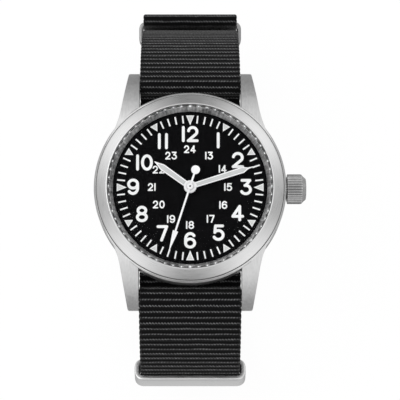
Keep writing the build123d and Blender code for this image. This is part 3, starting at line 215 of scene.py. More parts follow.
class Finish:
    """A material with its node tree; links are made where an input is given a socket."""

    def __init__(self, name, **values):
        self.material = bpy.data.materials.new(name)
        self.material.use_nodes = True
        self.tree = self.material.node_tree
        self.shader = self.tree.nodes["Principled BSDF"]
        self.set(self.shader, {k.replace("_", " "): v for k, v in values.items()})

    def set(self, node, values):
        for key, value in values.items():
            if isinstance(value, bpy.types.NodeSocket):
                self.tree.links.new(value, node.inputs[key])
            elif isinstance(value, tuple) and len(value) == 3:
                kind = node.inputs[key].type
                node.inputs[key].default_value = (*value, 1) if kind == "RGBA" else value
            else:
                node.inputs[key].default_value = value

    def add(self, kind, values=None, **settings):
        node = self.tree.nodes.new("ShaderNode" + kind)
        for key, value in settings.items():
            setattr(node, key, value)
        self.set(node, values or {})
        return node

    def place(self, scale, uv=False):
        """Object coordinates, or the piece's own UV, scaled per metre or per millimetre. One
        number as scale serves all three axes."""
        scale = scale if isinstance(scale, tuple) else (scale,) * 3
        if uv:
            spot = self.add("UVMap", uv_map="run").outputs["UV"]
        else:
            spot = self.add("TexCoord").outputs["Object"]
        return self.add("Mapping", {"Vector": spot, "Scale": scale}).outputs["Vector"]

    def noise(self, scale, detail=2.0, uv=False):
        values = {"Vector": self.place(scale, uv), "Scale": 1.0, "Detail": detail}
        return self.add("TexNoise", values).outputs["Fac"]

    def mix(self, share, low, high):
        """Blend of two colours, each a tuple or a socket."""
        return self.add("Mix", {0: share, 6: low, 7: high}, data_type="RGBA").outputs[2]

    def ramp(self, value, low, high, start=0.3, end=0.7):
        """Map a value from start..end to low..high, numbers or colours."""
        if isinstance(low, tuple):
            return self.mix(self.ramp(value, 0.0, 1.0, start, end), low, high)
        values = {"Value": value, "From Min": start, "From Max": end, "To Min": low, "To Max": high}
        return self.add("MapRange", values).outputs["Result"]

    def math(self, operation, a, b=0.0):
        return self.add("Math", {0: a, 1: b}, operation=operation).outputs["Value"]

    def bump(self, height, depth, strength):
        """Bump by a height that spans depth millimetres."""
        values = {"Height": height, "Distance": depth * mm, "Strength": strength}
        return self.add("Bump", values).outputs["Normal"]

    def use(self, **values):
        self.set(self.shader, {k.replace("_", " "): v for k, v in values.items()})
        return self.material


def brushed_steel(name, colour, rough, grain, depth=0.004, uv=False, spread=0.08):
    """Steel with a directional grain: noise stretched along the brushing."""
    steel = Finish(name, Metallic=1.0)
    fine = steel.noise(grain, 3.0, uv)
    broad = steel.noise(0.25 if uv else 260, 2.0, uv)
    tone = steel.math("ADD", steel.math("MULTIPLY", fine, 0.7), steel.math("MULTIPLY", broad, 0.3))
    dark = tuple(c * (1 - spread) for c in colour)
    light = tuple(min(1, c * (1 + spread)) for c in colour)
    return steel.use(
        Base_Color=steel.ramp(tone, dark, light),
        Roughness=steel.ramp(tone, rough - 0.05, rough + 0.07),
        Normal=steel.bump(fine, depth, 0.5),
    )


def plain_metal(name, colour, rough, grain=2500, metallic=1.0, depth=0.003, gloss=0.5):
    """Metal, plated or painted part with an even fine grain and a slow change of tone."""
    metal = Finish(name, Metallic=metallic, Specular_IOR_Level=gloss)
    fine = metal.noise(grain, 3.0)
    broad = metal.noise(400, 2.0)
    dark = tuple(c * 0.88 for c in colour)
    return metal.use(
        Base_Color=metal.ramp(broad, dark, colour),
        Roughness=metal.ramp(fine, max(0.02, rough - 0.06), rough + 0.08),
        Normal=metal.bump(fine, depth, 0.5),
    )


def woven_band(name, black, thread, dash_pitch):
    """Black cord ribs across the band; painted highlight lies on the crest of each rib, where the
    crests catch the light:
    grey broken into slanting dashes like the weave's yarn, fading out over the rounded edges.

    The UV is the distance along and across in millimetres, so fract(u / rib_pitch) is 0.5 on a
    crest. A dash of painted highlight is where fract(v / dash_pitch + slant + row shift) is near
    0.5."""
    cloth = Finish(name, Sheen_Weight=0.2, Sheen_Roughness=0.4, Specular_IOR_Level=0.03)
    spot = cloth.add("UVMap", uv_map="run").outputs["UV"]
    run = cloth.add("SeparateXYZ", {"Vector": spot})
    row = cloth.math("DIVIDE", run.outputs["X"], rib_pitch)
    rib = cloth.math("SUBTRACT", cloth.math("FRACT", row), 0.5)
    turn = cloth.math("MULTIPLY", run.outputs["Y"], 2 * pi / dash_pitch)
    sway = cloth.math("MULTIPLY", cloth.math("SINE", turn), 0.05)
    drift = cloth.ramp(cloth.noise((0.6, 0.3, 0.6), 2.0, True), -0.05, 0.05)
    off = cloth.math("ABSOLUTE", cloth.math("ADD", rib, cloth.math("ADD", sway, drift)))
    line = cloth.ramp(off, 1.0, 0.0, 0.05, 0.15)
    slant = cloth.math("MULTIPLY", rib, 1.6)
    shift = cloth.math("MULTIPLY", cloth.math("MODULO", cloth.math("FLOOR", row), 3.0), 0.37)
    crest_dash_phase = cloth.math("ADD", cloth.math("DIVIDE", run.outputs["Y"], dash_pitch), slant)
    crest_dash_phase = cloth.math("FRACT", cloth.math("ADD", crest_dash_phase, shift))
    gap = cloth.math("ABSOLUTE", cloth.math("SUBTRACT", crest_dash_phase, 0.5))
    dash = cloth.ramp(gap, 1.0, 0.3, 0.16, 0.38)
    # Random patches where the painted highlight on the crests is weaker.
    painted_light_factor = cloth.ramp(cloth.noise((0.8, 1.6, 0.8), 3.0, True), 0.35, 1.0)
    mask = cloth.math("MULTIPLY", cloth.math("MULTIPLY", line, dash), painted_light_factor)
    side = cloth.math("ABSOLUTE", run.outputs["Y"])
    mask = cloth.math("MULTIPLY", mask, cloth.ramp(side, 1.0, 0.3, 9.0, 9.9))
    fuzz = cloth.noise((5.0, 11.0, 5.0), 4.0, True)
    ground = cloth.ramp(fuzz, tuple(c * 0.4 for c in black), tuple(c * 1.6 for c in black))
    cord = cloth.math("MULTIPLY", cloth.math("SINE", turn), 0.3)
    height = cloth.math("ADD", cord, cloth.math("ADD", fuzz, mask))
    # Painted highlight: the crest dashes take the grey colour over the black ground.
    return cloth.use(Base_Color=cloth.mix(mask, ground, thread), Roughness=0.9,
                     Normal=cloth.bump(height, 0.06, 0.8))


def fluted_steel():
    """Crown steel with 36 bands of painted shade along the grip: |sin(18 b)| is lowest in them,
    where b is the angle from +Z towards +Y round the crown's axis. The bands are meant as the shade
    in the flutes' grooves, but they lie on the crests of the flutes."""
    steel = Finish("crown_steel", Metallic=1.0)
    spot = steel.add("SeparateXYZ", {"Vector": steel.add("TexCoord").outputs["Object"]}).outputs
    turn = steel.math("ARCTAN2", spot["Y"], steel.math("SUBTRACT", spot["Z"], crown_z * mm))
    wave = steel.math("ABSOLUTE", steel.math("SINE", steel.math("MULTIPLY", turn, flutes / 2)))
    grain = steel.noise((1200, 4000, 4000), 3.0)
    band = steel.ramp(wave, 0.0, 1.0, 0.15, 0.7)
    on_grip = steel.ramp(spot["X"], 1.0, 0.0, (grip_end_x - 0.1) * mm, (grip_end_x + 0.1) * mm)
    # Painted shade: the dark bands on the grip; past the grip's end the steel stays bright.
    painted_light_factor = steel.math("MAXIMUM", band, steel.math("SUBTRACT", 1.0, on_grip))
    bright = steel.ramp(grain, (0.5, 0.5, 0.5), (0.62, 0.62, 0.62))
    return steel.use(Base_Color=steel.mix(painted_light_factor, (0.09, 0.09, 0.092), bright),
                     Roughness=steel.ramp(grain, 0.22, 0.34))


case_steel = brushed_steel("case_steel", (0.7, 0.7, 0.7), 0.34, (3500, 350, 3500))
bezel_steel = brushed_steel("bezel_steel", (0.7, 0.7, 0.7), 0.3, (0.4, 8.0, 1), uv=True)
crown_steel = fluted_steel()
along_x = (300, 5200, 5200)
hardware_steel = brushed_steel("hardware_steel", (0.76, 0.76, 0.76), 0.3, along_x, 0.002,
                               spread=0.03)
# Painted shade: the keepers are the same steel as the ring and buckle, darkened to 0.34 against
# 0.76 for the shade they sit in.
keeper_steel_painted_shade = brushed_steel("keeper_steel_painted_shade", (0.34, 0.34, 0.34), 0.34, along_x, 0.002, spread=0.03)
bar_steel = plain_metal("bar_steel", (0.66, 0.66, 0.66), 0.3)
movement_steel = plain_metal("movement_steel", (0.68, 0.69, 0.7), 0.28)
movement_brass = plain_metal("movement_brass", (0.8, 0.62, 0.32), 0.3, (900, 6000, 900))
motor_iron = plain_metal("motor_iron", (0.42, 0.42, 0.44), 0.42)
can_steel = plain_metal("can_steel", (0.78, 0.78, 0.78), 0.2)
holder_plastic = plain_metal("holder_plastic", (0.7, 0.7, 0.66), 0.5, metallic=0.0)
gasket_rubber = plain_metal("gasket_rubber", (0.02, 0.02, 0.02), 0.6, metallic=0.0)
dial_black = plain_metal("dial_black", (0.0045, 0.0045, 0.005), 0.8, 7000, 0.0, 0.0006, 0.02)
paint_white = plain_metal("paint_white", (0.93, 0.94, 0.94), 0.6, 6000, 0.0, gloss=0.2)
lume_grey = plain_metal("lume_grey", (0.74, 0.75, 0.74), 0.7, 5000, 0.0, gloss=0.2)
hand_inset = plain_metal("hand_inset", (0.6, 0.61, 0.61), 0.7, 5000, 0.0, gloss=0.2)
hand_white = plain_metal("hand_white", (0.93, 0.93, 0.94), 0.4, 5000, 0.0, gloss=0.3)
# Painted highlight: the grey (0.2, 0.2, 0.204) is what woven_band paints on the rib crests.
strap_weave = woven_band("strap_weave", (0.0045, 0.0045, 0.0047), (0.2, 0.2, 0.204), 0.6)
sewing_thread = plain_metal("sewing_thread", (0.03, 0.03, 0.031), 0.7, 9000, 0.0)
melted_rim = plain_metal("melted_rim", (0.008, 0.008, 0.008), 0.3, 5000, 0.0)


def wound_copper():
    """Copper wire: fine turns round the coil's length, along X."""
    wire = Finish("coil_copper", Metallic=0.9)
    values = {"Vector": wire.place(1), "Scale": 2600.0, "Distortion": 0.4}
    turns = wire.add("TexWave", values, wave_type="BANDS", bands_direction="X").outputs["Fac"]
    return wire.use(Base_Color=wire.ramp(turns, (0.28, 0.1, 0.04), (0.75, 0.34, 0.16), 0.2, 0.8),
                    Roughness=0.35, Normal=wire.bump(turns, 0.03, 0.8))


def board_resin():
    """Green resin board: glass weave under a glossy mask."""
    board = Finish("board_resin", Roughness=0.35)
    weave = board.add("TexChecker", {"Vector": board.place(1), "Scale": 2500.0}).outputs["Fac"]
    blot = board.noise(900, 3.0)
    tone = board.math("ADD", board.math("MULTIPLY", weave, 0.3), board.math("MULTIPLY", blot, 0.7))
    return board.use(Base_Color=board.ramp(tone, (0.015, 0.09, 0.04), (0.04, 0.2, 0.09)))


def clear_crystal():
    """Clear flat glass with an anti-glare coat, whose faint mirror shows only at a slant."""
    glass = Finish("crystal_glass", Transmission_Weight=1.0, Roughness=0.0, IOR=1.0, Alpha=0.06,
                   Coat_Roughness=0.02, Coat_IOR=1.5)
    haze = glass.noise(1500, 3.0)
    slant = glass.add("LayerWeight", {"Blend": 0.5}).outputs["Facing"]
    return glass.use(Base_Color=glass.ramp(haze, (0.97, 0.98, 0.98), (1, 1, 1)),
                     Coat_Weight=glass.ramp(slant, 0.0, 1.0, 0.12, 0.5))


def ring_grey():
    """Slanted ring: satin grey with fine upright streaks of grain and a slow dark-to-light mottle
    over the whole ring, its outer land included;
    the mottle is painted reflection, standing in for the light and dark that the ring mirrors.

    The UV runs round the ring and up its slope in millimetres."""
    ring = Finish("inner_ring", Metallic=0.25)
    # Painted reflection: the slow noise mottles the colour between dark and light grey; the streak
    # noise is the grain.
    slow = ring.noise((0.3, 0.3, 1), 3.0, True)
    streak = ring.noise((2.4, 0.35, 1), 2.0, True)
    tone = ring.math("ADD", ring.math("MULTIPLY", slow, 0.5), ring.math("MULTIPLY", streak, 0.5))
    return ring.use(Base_Color=ring.ramp(tone, (0.08, 0.08, 0.083), (0.56, 0.56, 0.56), 0.37, 0.64),
                    Roughness=0.34, Normal=ring.bump(streak, 0.02, 0.5))


coil_copper = wound_copper()
board_green = board_resin()
crystal_glass = clear_crystal()
inner_ring = ring_grey()

for finish, names in (
    (gasket_rubber, "crown_gasket"), (holder_plastic, "movement_holder"),
    (movement_steel, "crown_tube stem setting_lever sliding_pinion bridge_screws battery_clamp"),
    (movement_steel, "rotor"), (movement_brass, "main_plate train_bridge centre_wheel third_wheel"),
    (movement_brass, "fourth_wheel fifth_wheel cannon_pinion minute_wheel hour_wheel"),
    (motor_iron, "stator coil_core"), (coil_copper, "coil_winding"),
    (can_steel, "battery quartz_can"), (board_green, "circuit_board"), (dial_black, "dial"),
    (paint_white, "hour_markers"), (hand_white, "hour_hand minute_hand second_hand"),
    (bar_steel, "spring_bar_12 spring_bar_6 bar_spring_12 bar_spring_6"),
    (bar_steel, "bar_tip_12_right bar_tip_12_left bar_tip_6_right bar_tip_6_left"),
):
    for node_name in names.split():
        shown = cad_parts[node_name].data
        shown.materials.clear()
        shown.materials.append(finish)


# ---- case, bezel, crystal


def rounded_rim(piece):
    """Widen the chamfer round the barrel's top edge, so that the rim rolls over to the
    side, and let it fade out over 8 degrees before each lug."""
    mesh = piece.data
    point = np.empty(len(mesh.vertices) * 3)
    mesh.vertices.foreach_get("co", point)
    point = point.reshape(-1, 3)
    r, z = np.hypot(point[:, 0], point[:, 1]) / mm, point[:, 2] / mm
    top_r = barrel_r - barrel_chamfer
    inner = (np.abs(r - top_r) < 0.03) & (np.abs(z - case_top_z) < 0.02)
    outer = (np.abs(r - barrel_r) < 0.03) & (np.abs(z - case_top_z + barrel_chamfer) < 0.02)
    turn = np.degrees(np.arctan2(np.abs(point[:, 1]), np.abs(point[:, 0])))
    share = np.where(turn < 45, np.clip((34 - turn) / 8, 0, 1), np.clip((turn - 60) / 8, 0, 1))
    point[inner, :2] *= 1 - share[inner, None] * 0.22 / top_r
    point[outer, 2] -= share[outer] * 0.27 * mm
    mesh.vertices.foreach_set("co", point.ravel())
    mesh.update()


case_piece = refined("case", case_steel, 0.15)
rounded_rim(case_piece)
refined("case_back", case_steel, 0.08)


def slope_line(start, end, bulge, count):
    """Points from start to end, bowed out by bulge times the sine of the way along."""
    t = np.linspace(0, 1, count)
    start, end = np.array(start), np.array(end)
    side = np.array([start[1] - end[1], end[0] - start[0]])
    side = -side / np.linalg.norm(side)
    return start + (end - start) * t[:, None] + side * (bulge * np.sin(pi * t))[:, None]


bezel_top_z = case_top_z + 1.65
bezel_foot_z = case_top_z - 0.7
bezel_edge, bezel_mouth, glass_edge = bezel_radius + 0.12, bezel_bore_r + 0.19, 16.22
slope = slope_line((bezel_edge - 0.05, case_top_z + 0.34),
                   (bezel_crest_r - 0.1, bezel_top_z - 0.03), 0.025, 14)
bezel_profile = np.vstack([
    [(bezel_neck_r, bezel_foot_z), (bezel_neck_r, case_top_z + 0.01)],
    [(bezel_edge - 0.12, case_top_z + 0.01), (bezel_edge - 0.03, case_top_z + 0.04)],
    [(bezel_edge, case_top_z + 0.1), (bezel_edge, case_top_z + 0.26)],
    slope,
    [(bezel_crest_r - 0.16, bezel_top_z), (bezel_mouth + 0.1, bezel_top_z)],
    [(bezel_mouth + 0.03, bezel_top_z - 0.03), (bezel_mouth, bezel_top_z - 0.12)],
    [(bezel_mouth, bezel_foot_z), (bezel_neck_r, bezel_foot_z)],
])
bezel_piece = turned("bezel_ring", bezel_profile, bezel_steel, slot="case_steel")
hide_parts("bezel")
# Painted shade: a thin dark ring laid on the case top at the bezel's foot, standing in for the
# shade in the groove between bezel and case.
seam = [(bezel_edge - 0.08, case_top_z + 0.02), (bezel_edge + 0.12, case_top_z + 0.02),
        (bezel_edge + 0.12, case_top_z + 0.005), (bezel_edge - 0.08, case_top_z + 0.005)]
turned("bezel_seam_shade", seam, gasket_rubber, slot="case_steel")

dome = np.linspace(0.004, 1, 16)
crystal_top, dome_rise = crystal_z + 0.62, 0.8
crystal_profile = np.vstack([
    np.stack([(glass_edge - 0.16) * dome, crystal_top + dome_rise * (1 - dome**2)], -1),
    [(glass_edge, crystal_top - 0.15), (glass_edge, crystal_z + 0.02)],
    [(0.06, crystal_z + 0.02), (0.004, crystal_z + 0.02)],
])
crystal_piece = turned("crystal_dome", crystal_profile, crystal_glass, slot="crystal_glass")
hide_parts("crystal")

ring_foot_r, ring_rim_r = 15.2, 16.2
ring_profile = [(ring_foot_r, dial_top_z + 0.01), (15.22, dial_top_z + 0.12),
                (15.8, crystal_z - 0.12), (15.84, crystal_z - 0.07), (ring_rim_r, crystal_z - 0.05),
                (ring_rim_r, dial_top_z + 0.01), (ring_foot_r, dial_top_z + 0.01)]
ring_piece = turned("slanted_ring", ring_profile, inner_ring, slot="inner_ring", sides=360)
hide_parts("rehaut_ring")


# ---- crown


def fluted_crown():
    """Crown along +X: radius = body radius plus a flute ridge of 0.238 |cos(18 a)|^0.8 times an
    envelope that closes at both ends of the grip; the end face is a shallow dome."""
    start, tip = crown_start_x, 2.15
    root = grip_r - 0.24
    x = np.array([0, 0.02, 0.12, 0.13, 0.16, 0.3, 0.9, 1.5, 2.1, 2.6, 2.85, 3.0, 3.08, 3.14,
                  3.3, 3.5, 3.68, 3.76, 3.8, 3.84, 3.87, 3.895, 3.9]) + start
    body = np.array([2.4, 2.5, 2.5, root, root, root, root, root, root, root, root, root, root,
                     root - 0.06, root - 0.2, root - 0.38, root - 0.54, root - 0.62, tip - 0.1,
                     tip - 0.35, 1.3, 0.6, 0.01])
    lift = np.array([0, 0, 0, 0.8, 0.95, 1, 1, 1, 1, 1, 0.9, 0.62, 0.25, 0,
                     0, 0, 0, 0, 0, 0, 0, 0, 0])
    angle = np.linspace(0, 2 * pi, flutes * 10, endpoint=False)
    ridge = np.abs(np.cos(flutes / 2 * angle)) ** 0.8
    r = body[:, None] + 0.238 * lift[:, None] * ridge
    inner = np.array([[0.3, 1.8], [0.0, 1.8]])
    points = np.stack([np.broadcast_to(x[:, None], r.shape), r * np.cos(angle),
                       crown_z + r * np.sin(angle)], -1)
    hollow = np.stack([np.broadcast_to(inner[:, :1] + start, (2, len(angle))),
                       inner[:, 1:] * np.cos(angle), crown_z + inner[:, 1:] * np.sin(angle)], -1)
    points = np.concatenate([hollow, points])
    faces = grid_faces(len(points), len(angle), wrap_columns=True)
    faces.append(list(range(len(angle))))
    faces.append(list(range((len(points) - 1) * len(angle), len(points) * len(angle))))
    piece = make_piece("crown_grip", points, faces, crown_steel, "crown", "crown_steel")
    piece.data.polygons[-2].use_smooth = False
    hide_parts("crown")
    return outward(piece)


fluted_crown()


# ---- dial print


def arc(cx, cy, rx, ry, start, end, count=18):
    """Points of an ellipse's arc between two angles in degrees."""
    a = np.radians(np.linspace(start, end, count))
    return np.stack([cx + rx * np.cos(a), cy + ry * np.sin(a)], -1)


def digit_strokes(digit):
    """Centre lines of a rounded one-line digit in a box of 1 by 1, closed ones end as begun."""
    hook = np.vstack([[(0, 0.3), (0, 0.55)], arc(0.52, 0.6, 0.52, 0.4, 178, 38)])
    bowl = arc(0.46, 0.31, 0.52, 0.31, 100, -152)
    return {
        "0": [arc(0.5, 0.5, 0.5, 0.5, 0, 360, 40)],
        "1": [np.array([(0.5, 0), (0.5, 1)])],
        "2": [np.vstack([arc(0.5, 0.69, 0.47, 0.31, 170, -38), [(0.04, 0.02)]]),
              np.array([(0.0, 0), (1, 0)])],
        "3": [np.array([(0.05, 1), (0.92, 1)]), np.array([(0.92, 1), (0.45, 0.62)]), bowl],
        "4": [np.array([(0.7, 0), (0.7, 1)]), np.array([(0.7, 1), (0, 0.26)]),
              np.array([(0, 0.26), (1, 0.26)])],
        "5": [np.array([(0.16, 1), (0.94, 1)]), np.array([(0.16, 1), (0.08, 0.52)]),
              arc(0.47, 0.33, 0.53, 0.33, 135, -152)],
        "6": [arc(0.5, 0.3, 0.5, 0.3, 0, 360, 36), hook],
        "7": [np.array([(0, 1), (0.97, 1)]), np.array([(0.97, 1), (0.4, 0)])],
        "8": [arc(0.5, 0.76, 0.43, 0.24, 0, 360, 36), arc(0.5, 0.26, 0.5, 0.26, 0, 360, 36)],
        "9": [arc(0.5, 0.7, 0.5, 0.3, 0, 360, 36), 1 - hook],
    }[digit]


def ribbon(line, width, z):
    """Flat stroke: the line moved half a width to each side, with a half round at open ends."""
    line = np.asarray(line, float)
    ahead = np.gradient(line, axis=0)
    ahead /= np.linalg.norm(ahead, axis=1)[:, None]
    side = np.stack([-ahead[:, 1], ahead[:, 0]], -1) * width / 2
    closed = np.allclose(line[0], line[-1])
    left, right = line + side, line - side
    if closed:
        left[0] = left[-1] = (left[0] + left[-1]) / 2
        right[0] = right[-1] = (right[0] + right[-1]) / 2
    points = np.vstack([left, right])
    n = len(line)
    faces = [(i, i + n, i + n + 1, i + 1) for i in range(n - 1)]
    if not closed:
        for end, way in ((0, -1), (n - 1, 1)):
            a = np.radians(np.linspace(90, -90, 9))[1:-1, None]
            cap = line[end] + way * ahead[end] * width / 2 * np.cos(a) + side[end] * np.sin(a)
            first = len(points)
            points = np.vstack([points, cap])
            faces.append([end, *range(first, first + 7), end + n][::way])
    return np.column_stack([points, np.full(len(points), z)]), faces


def gather(parts):
    """Join lists of (points, faces) into one."""
    points, faces, start = [], [], 0
    for part, quads in parts:
        points.append(part)
        faces += [[i + start for i in face] for face in quads]
        start += len(part)
    return np.vstack(points), faces


def numeral(text, centre, height, stroke, width, gap):
    """Digits side by side about a centre; a 1 takes only its stroke's width."""
    widths = [stroke if c == "1" else width for c in text]
    left = centre[0] - (sum(widths) + gap * (len(text) - 1)) / 2
    parts = []
    for c, wide in zip(text, widths):
        for k, line in enumerate(digit_strokes(c)):
            across = (line[:, 0] - (0.5 if c == "1" else 0)) * (wide - stroke)
            x = left + stroke / 2 + across
            y = centre[1] - height / 2 + stroke / 2 + line[:, 1] * (height - stroke)
            parts.append(ribbon(np.stack([x, y], -1), stroke, print_z + 0.002 * k))
        left += wide + gap
    return parts


print_z = dial_top_z + 0.02
hour_height, hour_stroke = 3.24, 0.57
day_height, day_stroke = 1.58, 0.28
track_inner_r, track_outer_r = 12.9, 14.45
hours = {
    "12": (0.02, 10.70), "1": (5.55, 9.44), "2": (9.41, 5.47), "3": (11.01, 0.07),
    "4": (9.34, -5.12), "5": (5.58, -9.00), "6": (-0.01, -10.51), "7": (-5.42, -9.13),
    "8": (-9.47, -5.29), "9": (-11.23, 0.12), "10": (-9.0, 4.98), "11": (-5.39, 9.27),
}
day_hours = {
    "13": (3.75, 6.36), "14": (6.42, 3.70), "15": (7.48, 0.07), "16": (6.51, -3.50),
    "17": (4.04, -6.26), "18": (-0.02, -7.48), "19": (-3.74, -6.29), "20": (-6.17, -3.40),
    "21": (-7.57, 0.08), "22": (-6.23, 3.56), "23": (-3.77, 6.36), "24": (-0.06, 7.66),
}
printed = []
for text, centre in hours.items():
    wide = {"2": 2.44, "4": 2.5}.get(text, 2.34)
    gap = 0.84 if text == "11" else 0.4
    printed += numeral(text, centre, hour_height, hour_stroke, wide, gap)
for text, centre in day_hours.items():
    wide = 1.08 if text[0] == "2" else 1.1
    printed += numeral(text, centre, day_height, day_stroke, wide, 0.2)


def block(a, b, width, z):
    """A flat bar between two points."""
    a, b = np.array(a), np.array(b)
    side = np.array([a[1] - b[1], b[0] - a[0]])
    side = side / np.linalg.norm(side) * width / 2
    corners = np.array([a + side, a - side, b - side, b + side])
    return np.column_stack([corners, np.full(4, z)]), [(0, 1, 2, 3)]


for minute in range(60):
    if minute % 5:
        way = np.array([sin(minute * pi / 30), cos(minute * pi / 30)])
        printed.append(block(way * track_inner_r, way * track_outer_r, 0.3, print_z))


def flat_print(name, parts, paint, slot, body="watch", thick=0.0):
    """Flat faces of paint as one piece, turned upwards, with a thickness where asked."""
    piece = make_piece(name, *gather(parts), paint, body, slot, smooth=False)
    mesh = piece.data
    normal = np.empty(len(mesh.polygons) * 3)
    mesh.polygons.foreach_get("normal", normal)
    down = normal.reshape(-1, 3)[:, 2] < 0
    build = bmesh.new()
    build.from_mesh(mesh)
    build.faces.ensure_lookup_table()
    bmesh.ops.reverse_faces(build, faces=[f for f, d in zip(build.faces, down) if d])
    build.to_mesh(mesh)
    build.free()
    if thick:
        wall = piece.modifiers.new("thickness", "SOLIDIFY")
        wall.thickness = thick * mm
        wall.offset = 1.0


flat_print("dial_print", printed, paint_white, "marker_paint", thick=0.02)

insets, marker_half = [], 0.53
for hour in range(12):
    way = np.array([sin(hour * pi / 6), cos(hour * pi / 6)])
    side = np.array([way[1], -way[0]]) * marker_half
    height = 1.95 if hour % 3 == 0 else 1.5
    base = track_outer_r - 0.17
    tip = track_outer_r - height + 0.42
    corners = np.array([way * base + side, way * base - side, way * tip])
    insets.append((np.column_stack([corners, np.full(3, dial_top_z + 0.1)]), [(0, 1, 2)]))
flat_print("marker_lume", insets, lume_grey, "marker_paint")

dots, dashes = [], []
for minute in range(60):
    for marks, turn, half, inner, outer in (
        (dots, minute, 0.2 if minute % 30 == 0 else 0.13, 15.88, 16.14),
        (dashes, minute + 0.5, 0.42, 15.9, 16.09),
    ):
        a = turn * pi / 30
        way, side = np.array([sin(a), cos(a), 0]), np.array([cos(a), -sin(a), 0]) * half
        inner = outer - 2 * half if half == 0.2 else inner
        quad = np.array([way * inner - side, way * inner + side, way * outer + side,
                         way * outer - side]) + np.array([0, 0, crystal_z - 0.035])
        marks.append((quad, [(0, 1, 2, 3)]))
flat_print("ring_marks", dots, paint_white, "marker_paint", thick=0.01)
flat_print("ring_dashes", dashes, gasket_rubber, "dial_black", thick=0.01)


# ---- hands


def on_hand(outline, clockwise, z):
    """Outline in a hand's own plane, +Y to its tip, turned clockwise from 12."""
    a = radians(clockwise)
    outline = np.asarray(outline, float)
    x = outline[:, 0] * cos(a) + outline[:, 1] * sin(a)
    y = -outline[:, 0] * sin(a) + outline[:, 1] * cos(a)
    return np.column_stack([x, y, np.full(len(outline), crown_z + z)])


def hand_lume(name, clockwise, level, half_root, half, shoulder, neck, body):
    """Lume strip let into a hand: a blade that narrows from its shoulder to its neck."""
    right = [(half_root, 1.32), (half, shoulder), (0.05, neck)]
    outline = right + [(-x, y) for x, y in right[::-1]]
    blade = (on_hand(outline, clockwise, level + 0.16), [list(range(6))])
    flat_print(name, [blade], hand_inset, "hand_white", body, 0.015)


hour_clockwise, minute_clockwise = 305.8, 72.3
hand_lume("hour_lume", hour_clockwise, 2.75, 0.36, 0.42, 6.68, 7.85, "hour")
hand_lume("minute_lume", minute_clockwise, 3.15, 0.3, 0.4, 10.85, 11.65, "minute")

hub_low, hub_high = crown_z + 3.31, crown_z + 3.42
turned("minute_hub_cap", [
    (0.6, hub_low), (1.2, hub_low), (1.22, hub_low + 0.04), (1.16, hub_high - 0.01),
    (1.1, hub_high), (0.6, hub_high), (0.6, hub_low),
], hand_white, "minute", sides=64, slot="hand_white")
cap_low, cap_high = crown_z + 3.71, crown_z + 3.84
turned("second_hub_cap", [
    (0.2, cap_low), (0.62, cap_low), (0.64, cap_low + 0.05), (0.56, cap_high),
    (0.24, cap_high), (0.2, cap_high - 0.04), (0.2, cap_low),
], hand_white, "seconds", sides=48, slot="hand_white")
turned("arbor_end", [
    (0.004, cap_high - 0.05), (0.15, cap_high - 0.05), (0.17, cap_high - 0.1),
    (0.17, cap_low - 0.02), (0.004, cap_low - 0.02),
], gasket_rubber, "seconds", sides=24, slot="hand_white")


# ---- strap

hem_length = 4.5
run_12 = [(flat_length,), (under_bend_r, 90), (climb,), (wrap_r, -over_bar_turn),
          (shoulder_r, -shoulder_turn), (flank_r, -flank_turn), (corner_r, -90),
          (flank_end[0] - corner_r - buckle_y,), (wrap_r, -180), (hem_length,)]
run_6 = [(flat_length,), (under_bend_r, -90), (climb,), (wrap_r, over_bar_turn),
         (shoulder_r, side_turn), (side_bend_r, side_bend_turn)]
tail_run = [(5.534677 - strap_end_y,), (4.0, -20.0), (5.578625,), (2.5, 20.0),
            (flank_end[0] - corner_r - buckle_y,), (corner_r + layer_step, 90),
            (flank_r + layer_step, 1.5), (10.2,), (0.84, -180), (0.6,), (3.0, -25.0), (3.0, 25.0),
            (10.0,)]
inner_bend = 24.818855
under_run_12 = [(12.0,), (inner_bend, -90), (inner_mid_z - inner_bend - flank_end[1],),
                (corner_r - 2.7, -90), (flank_end[0] - corner_r - buckle_y - 4.5,)]
loop_bend = 17.761811
under_run_6 = [(31.827833 - loop_bend * sin(radians(66.5)),), (loop_bend, 66.5), (3.2,),
               (1.15, -180), (1.6,), (32.15, -8.9106)]


def run_length(steps):
    """Sum of the straight lengths d and the bent ones, radius times turned angle."""
    return sum(s[0] if len(s) == 1 else s[0] * radians(abs(s[1])) for s in steps)


def along_run(start, heading, steps, s):
    """Point and heading at each distance s along straight and bent steps in the YZ plane.

    A straight step adds d (cos h, sin h); a bend of radius r swings the heading by d / r.
    """
    y, z, way = np.zeros_like(s), np.zeros_like(s), np.zeros_like(s)
    at, h, done = np.array(start, float), radians(heading), 0.0
    for step in steps:
        length = step[0] if len(step) == 1 else step[0] * radians(abs(step[1]))
        here = (s >= done - 1e-9) & (s <= done + length + 1e-9)
        d = s[here] - done
        if len(step) == 1:
            y[here], z[here], way[here] = at[0] + d * cos(h), at[1] + d * sin(h), h
            at = at + length * np.array([cos(h), sin(h)])
        else:
            side, r = (1 if step[1] > 0 else -1), step[0]
            centre = at + side * r * np.array([-sin(h), cos(h)])
            w = h + side * d / r
            y[here] = centre[0] + side * r * np.sin(w)
            z[here] = centre[1] - side * r * np.cos(w)
            way[here] = w
            h = h + radians(step[1])
            at = centre + side * r * np.array([sin(h), -cos(h)])
        done += length
    return y, z, way


def run_spot(start, heading, steps, distance):
    """Point of a run and its heading at one distance."""
    return [float(v[0]) for v in along_run(start, heading, steps, np.array([distance]))]


# The 6 o'clock side leans in below the ring, then turns along the bottom
side_y, side_z, side_way = run_spot((0, main_mid_z), 180, run_6, run_length(run_6))
under_corner_r = corner_r - layer_step
side_fall = side_z - bottom_z - layer_step - under_corner_r * (1 - cos(side_way))
side_drop = side_fall / -sin(side_way)
under_end_y = side_y + side_drop * cos(side_way) - under_corner_r * sin(side_way)
run_6 = run_6 + [(side_drop,), (under_corner_r, 360 - np.degrees(side_way)),
                 (strap_end_y - under_end_y,)]


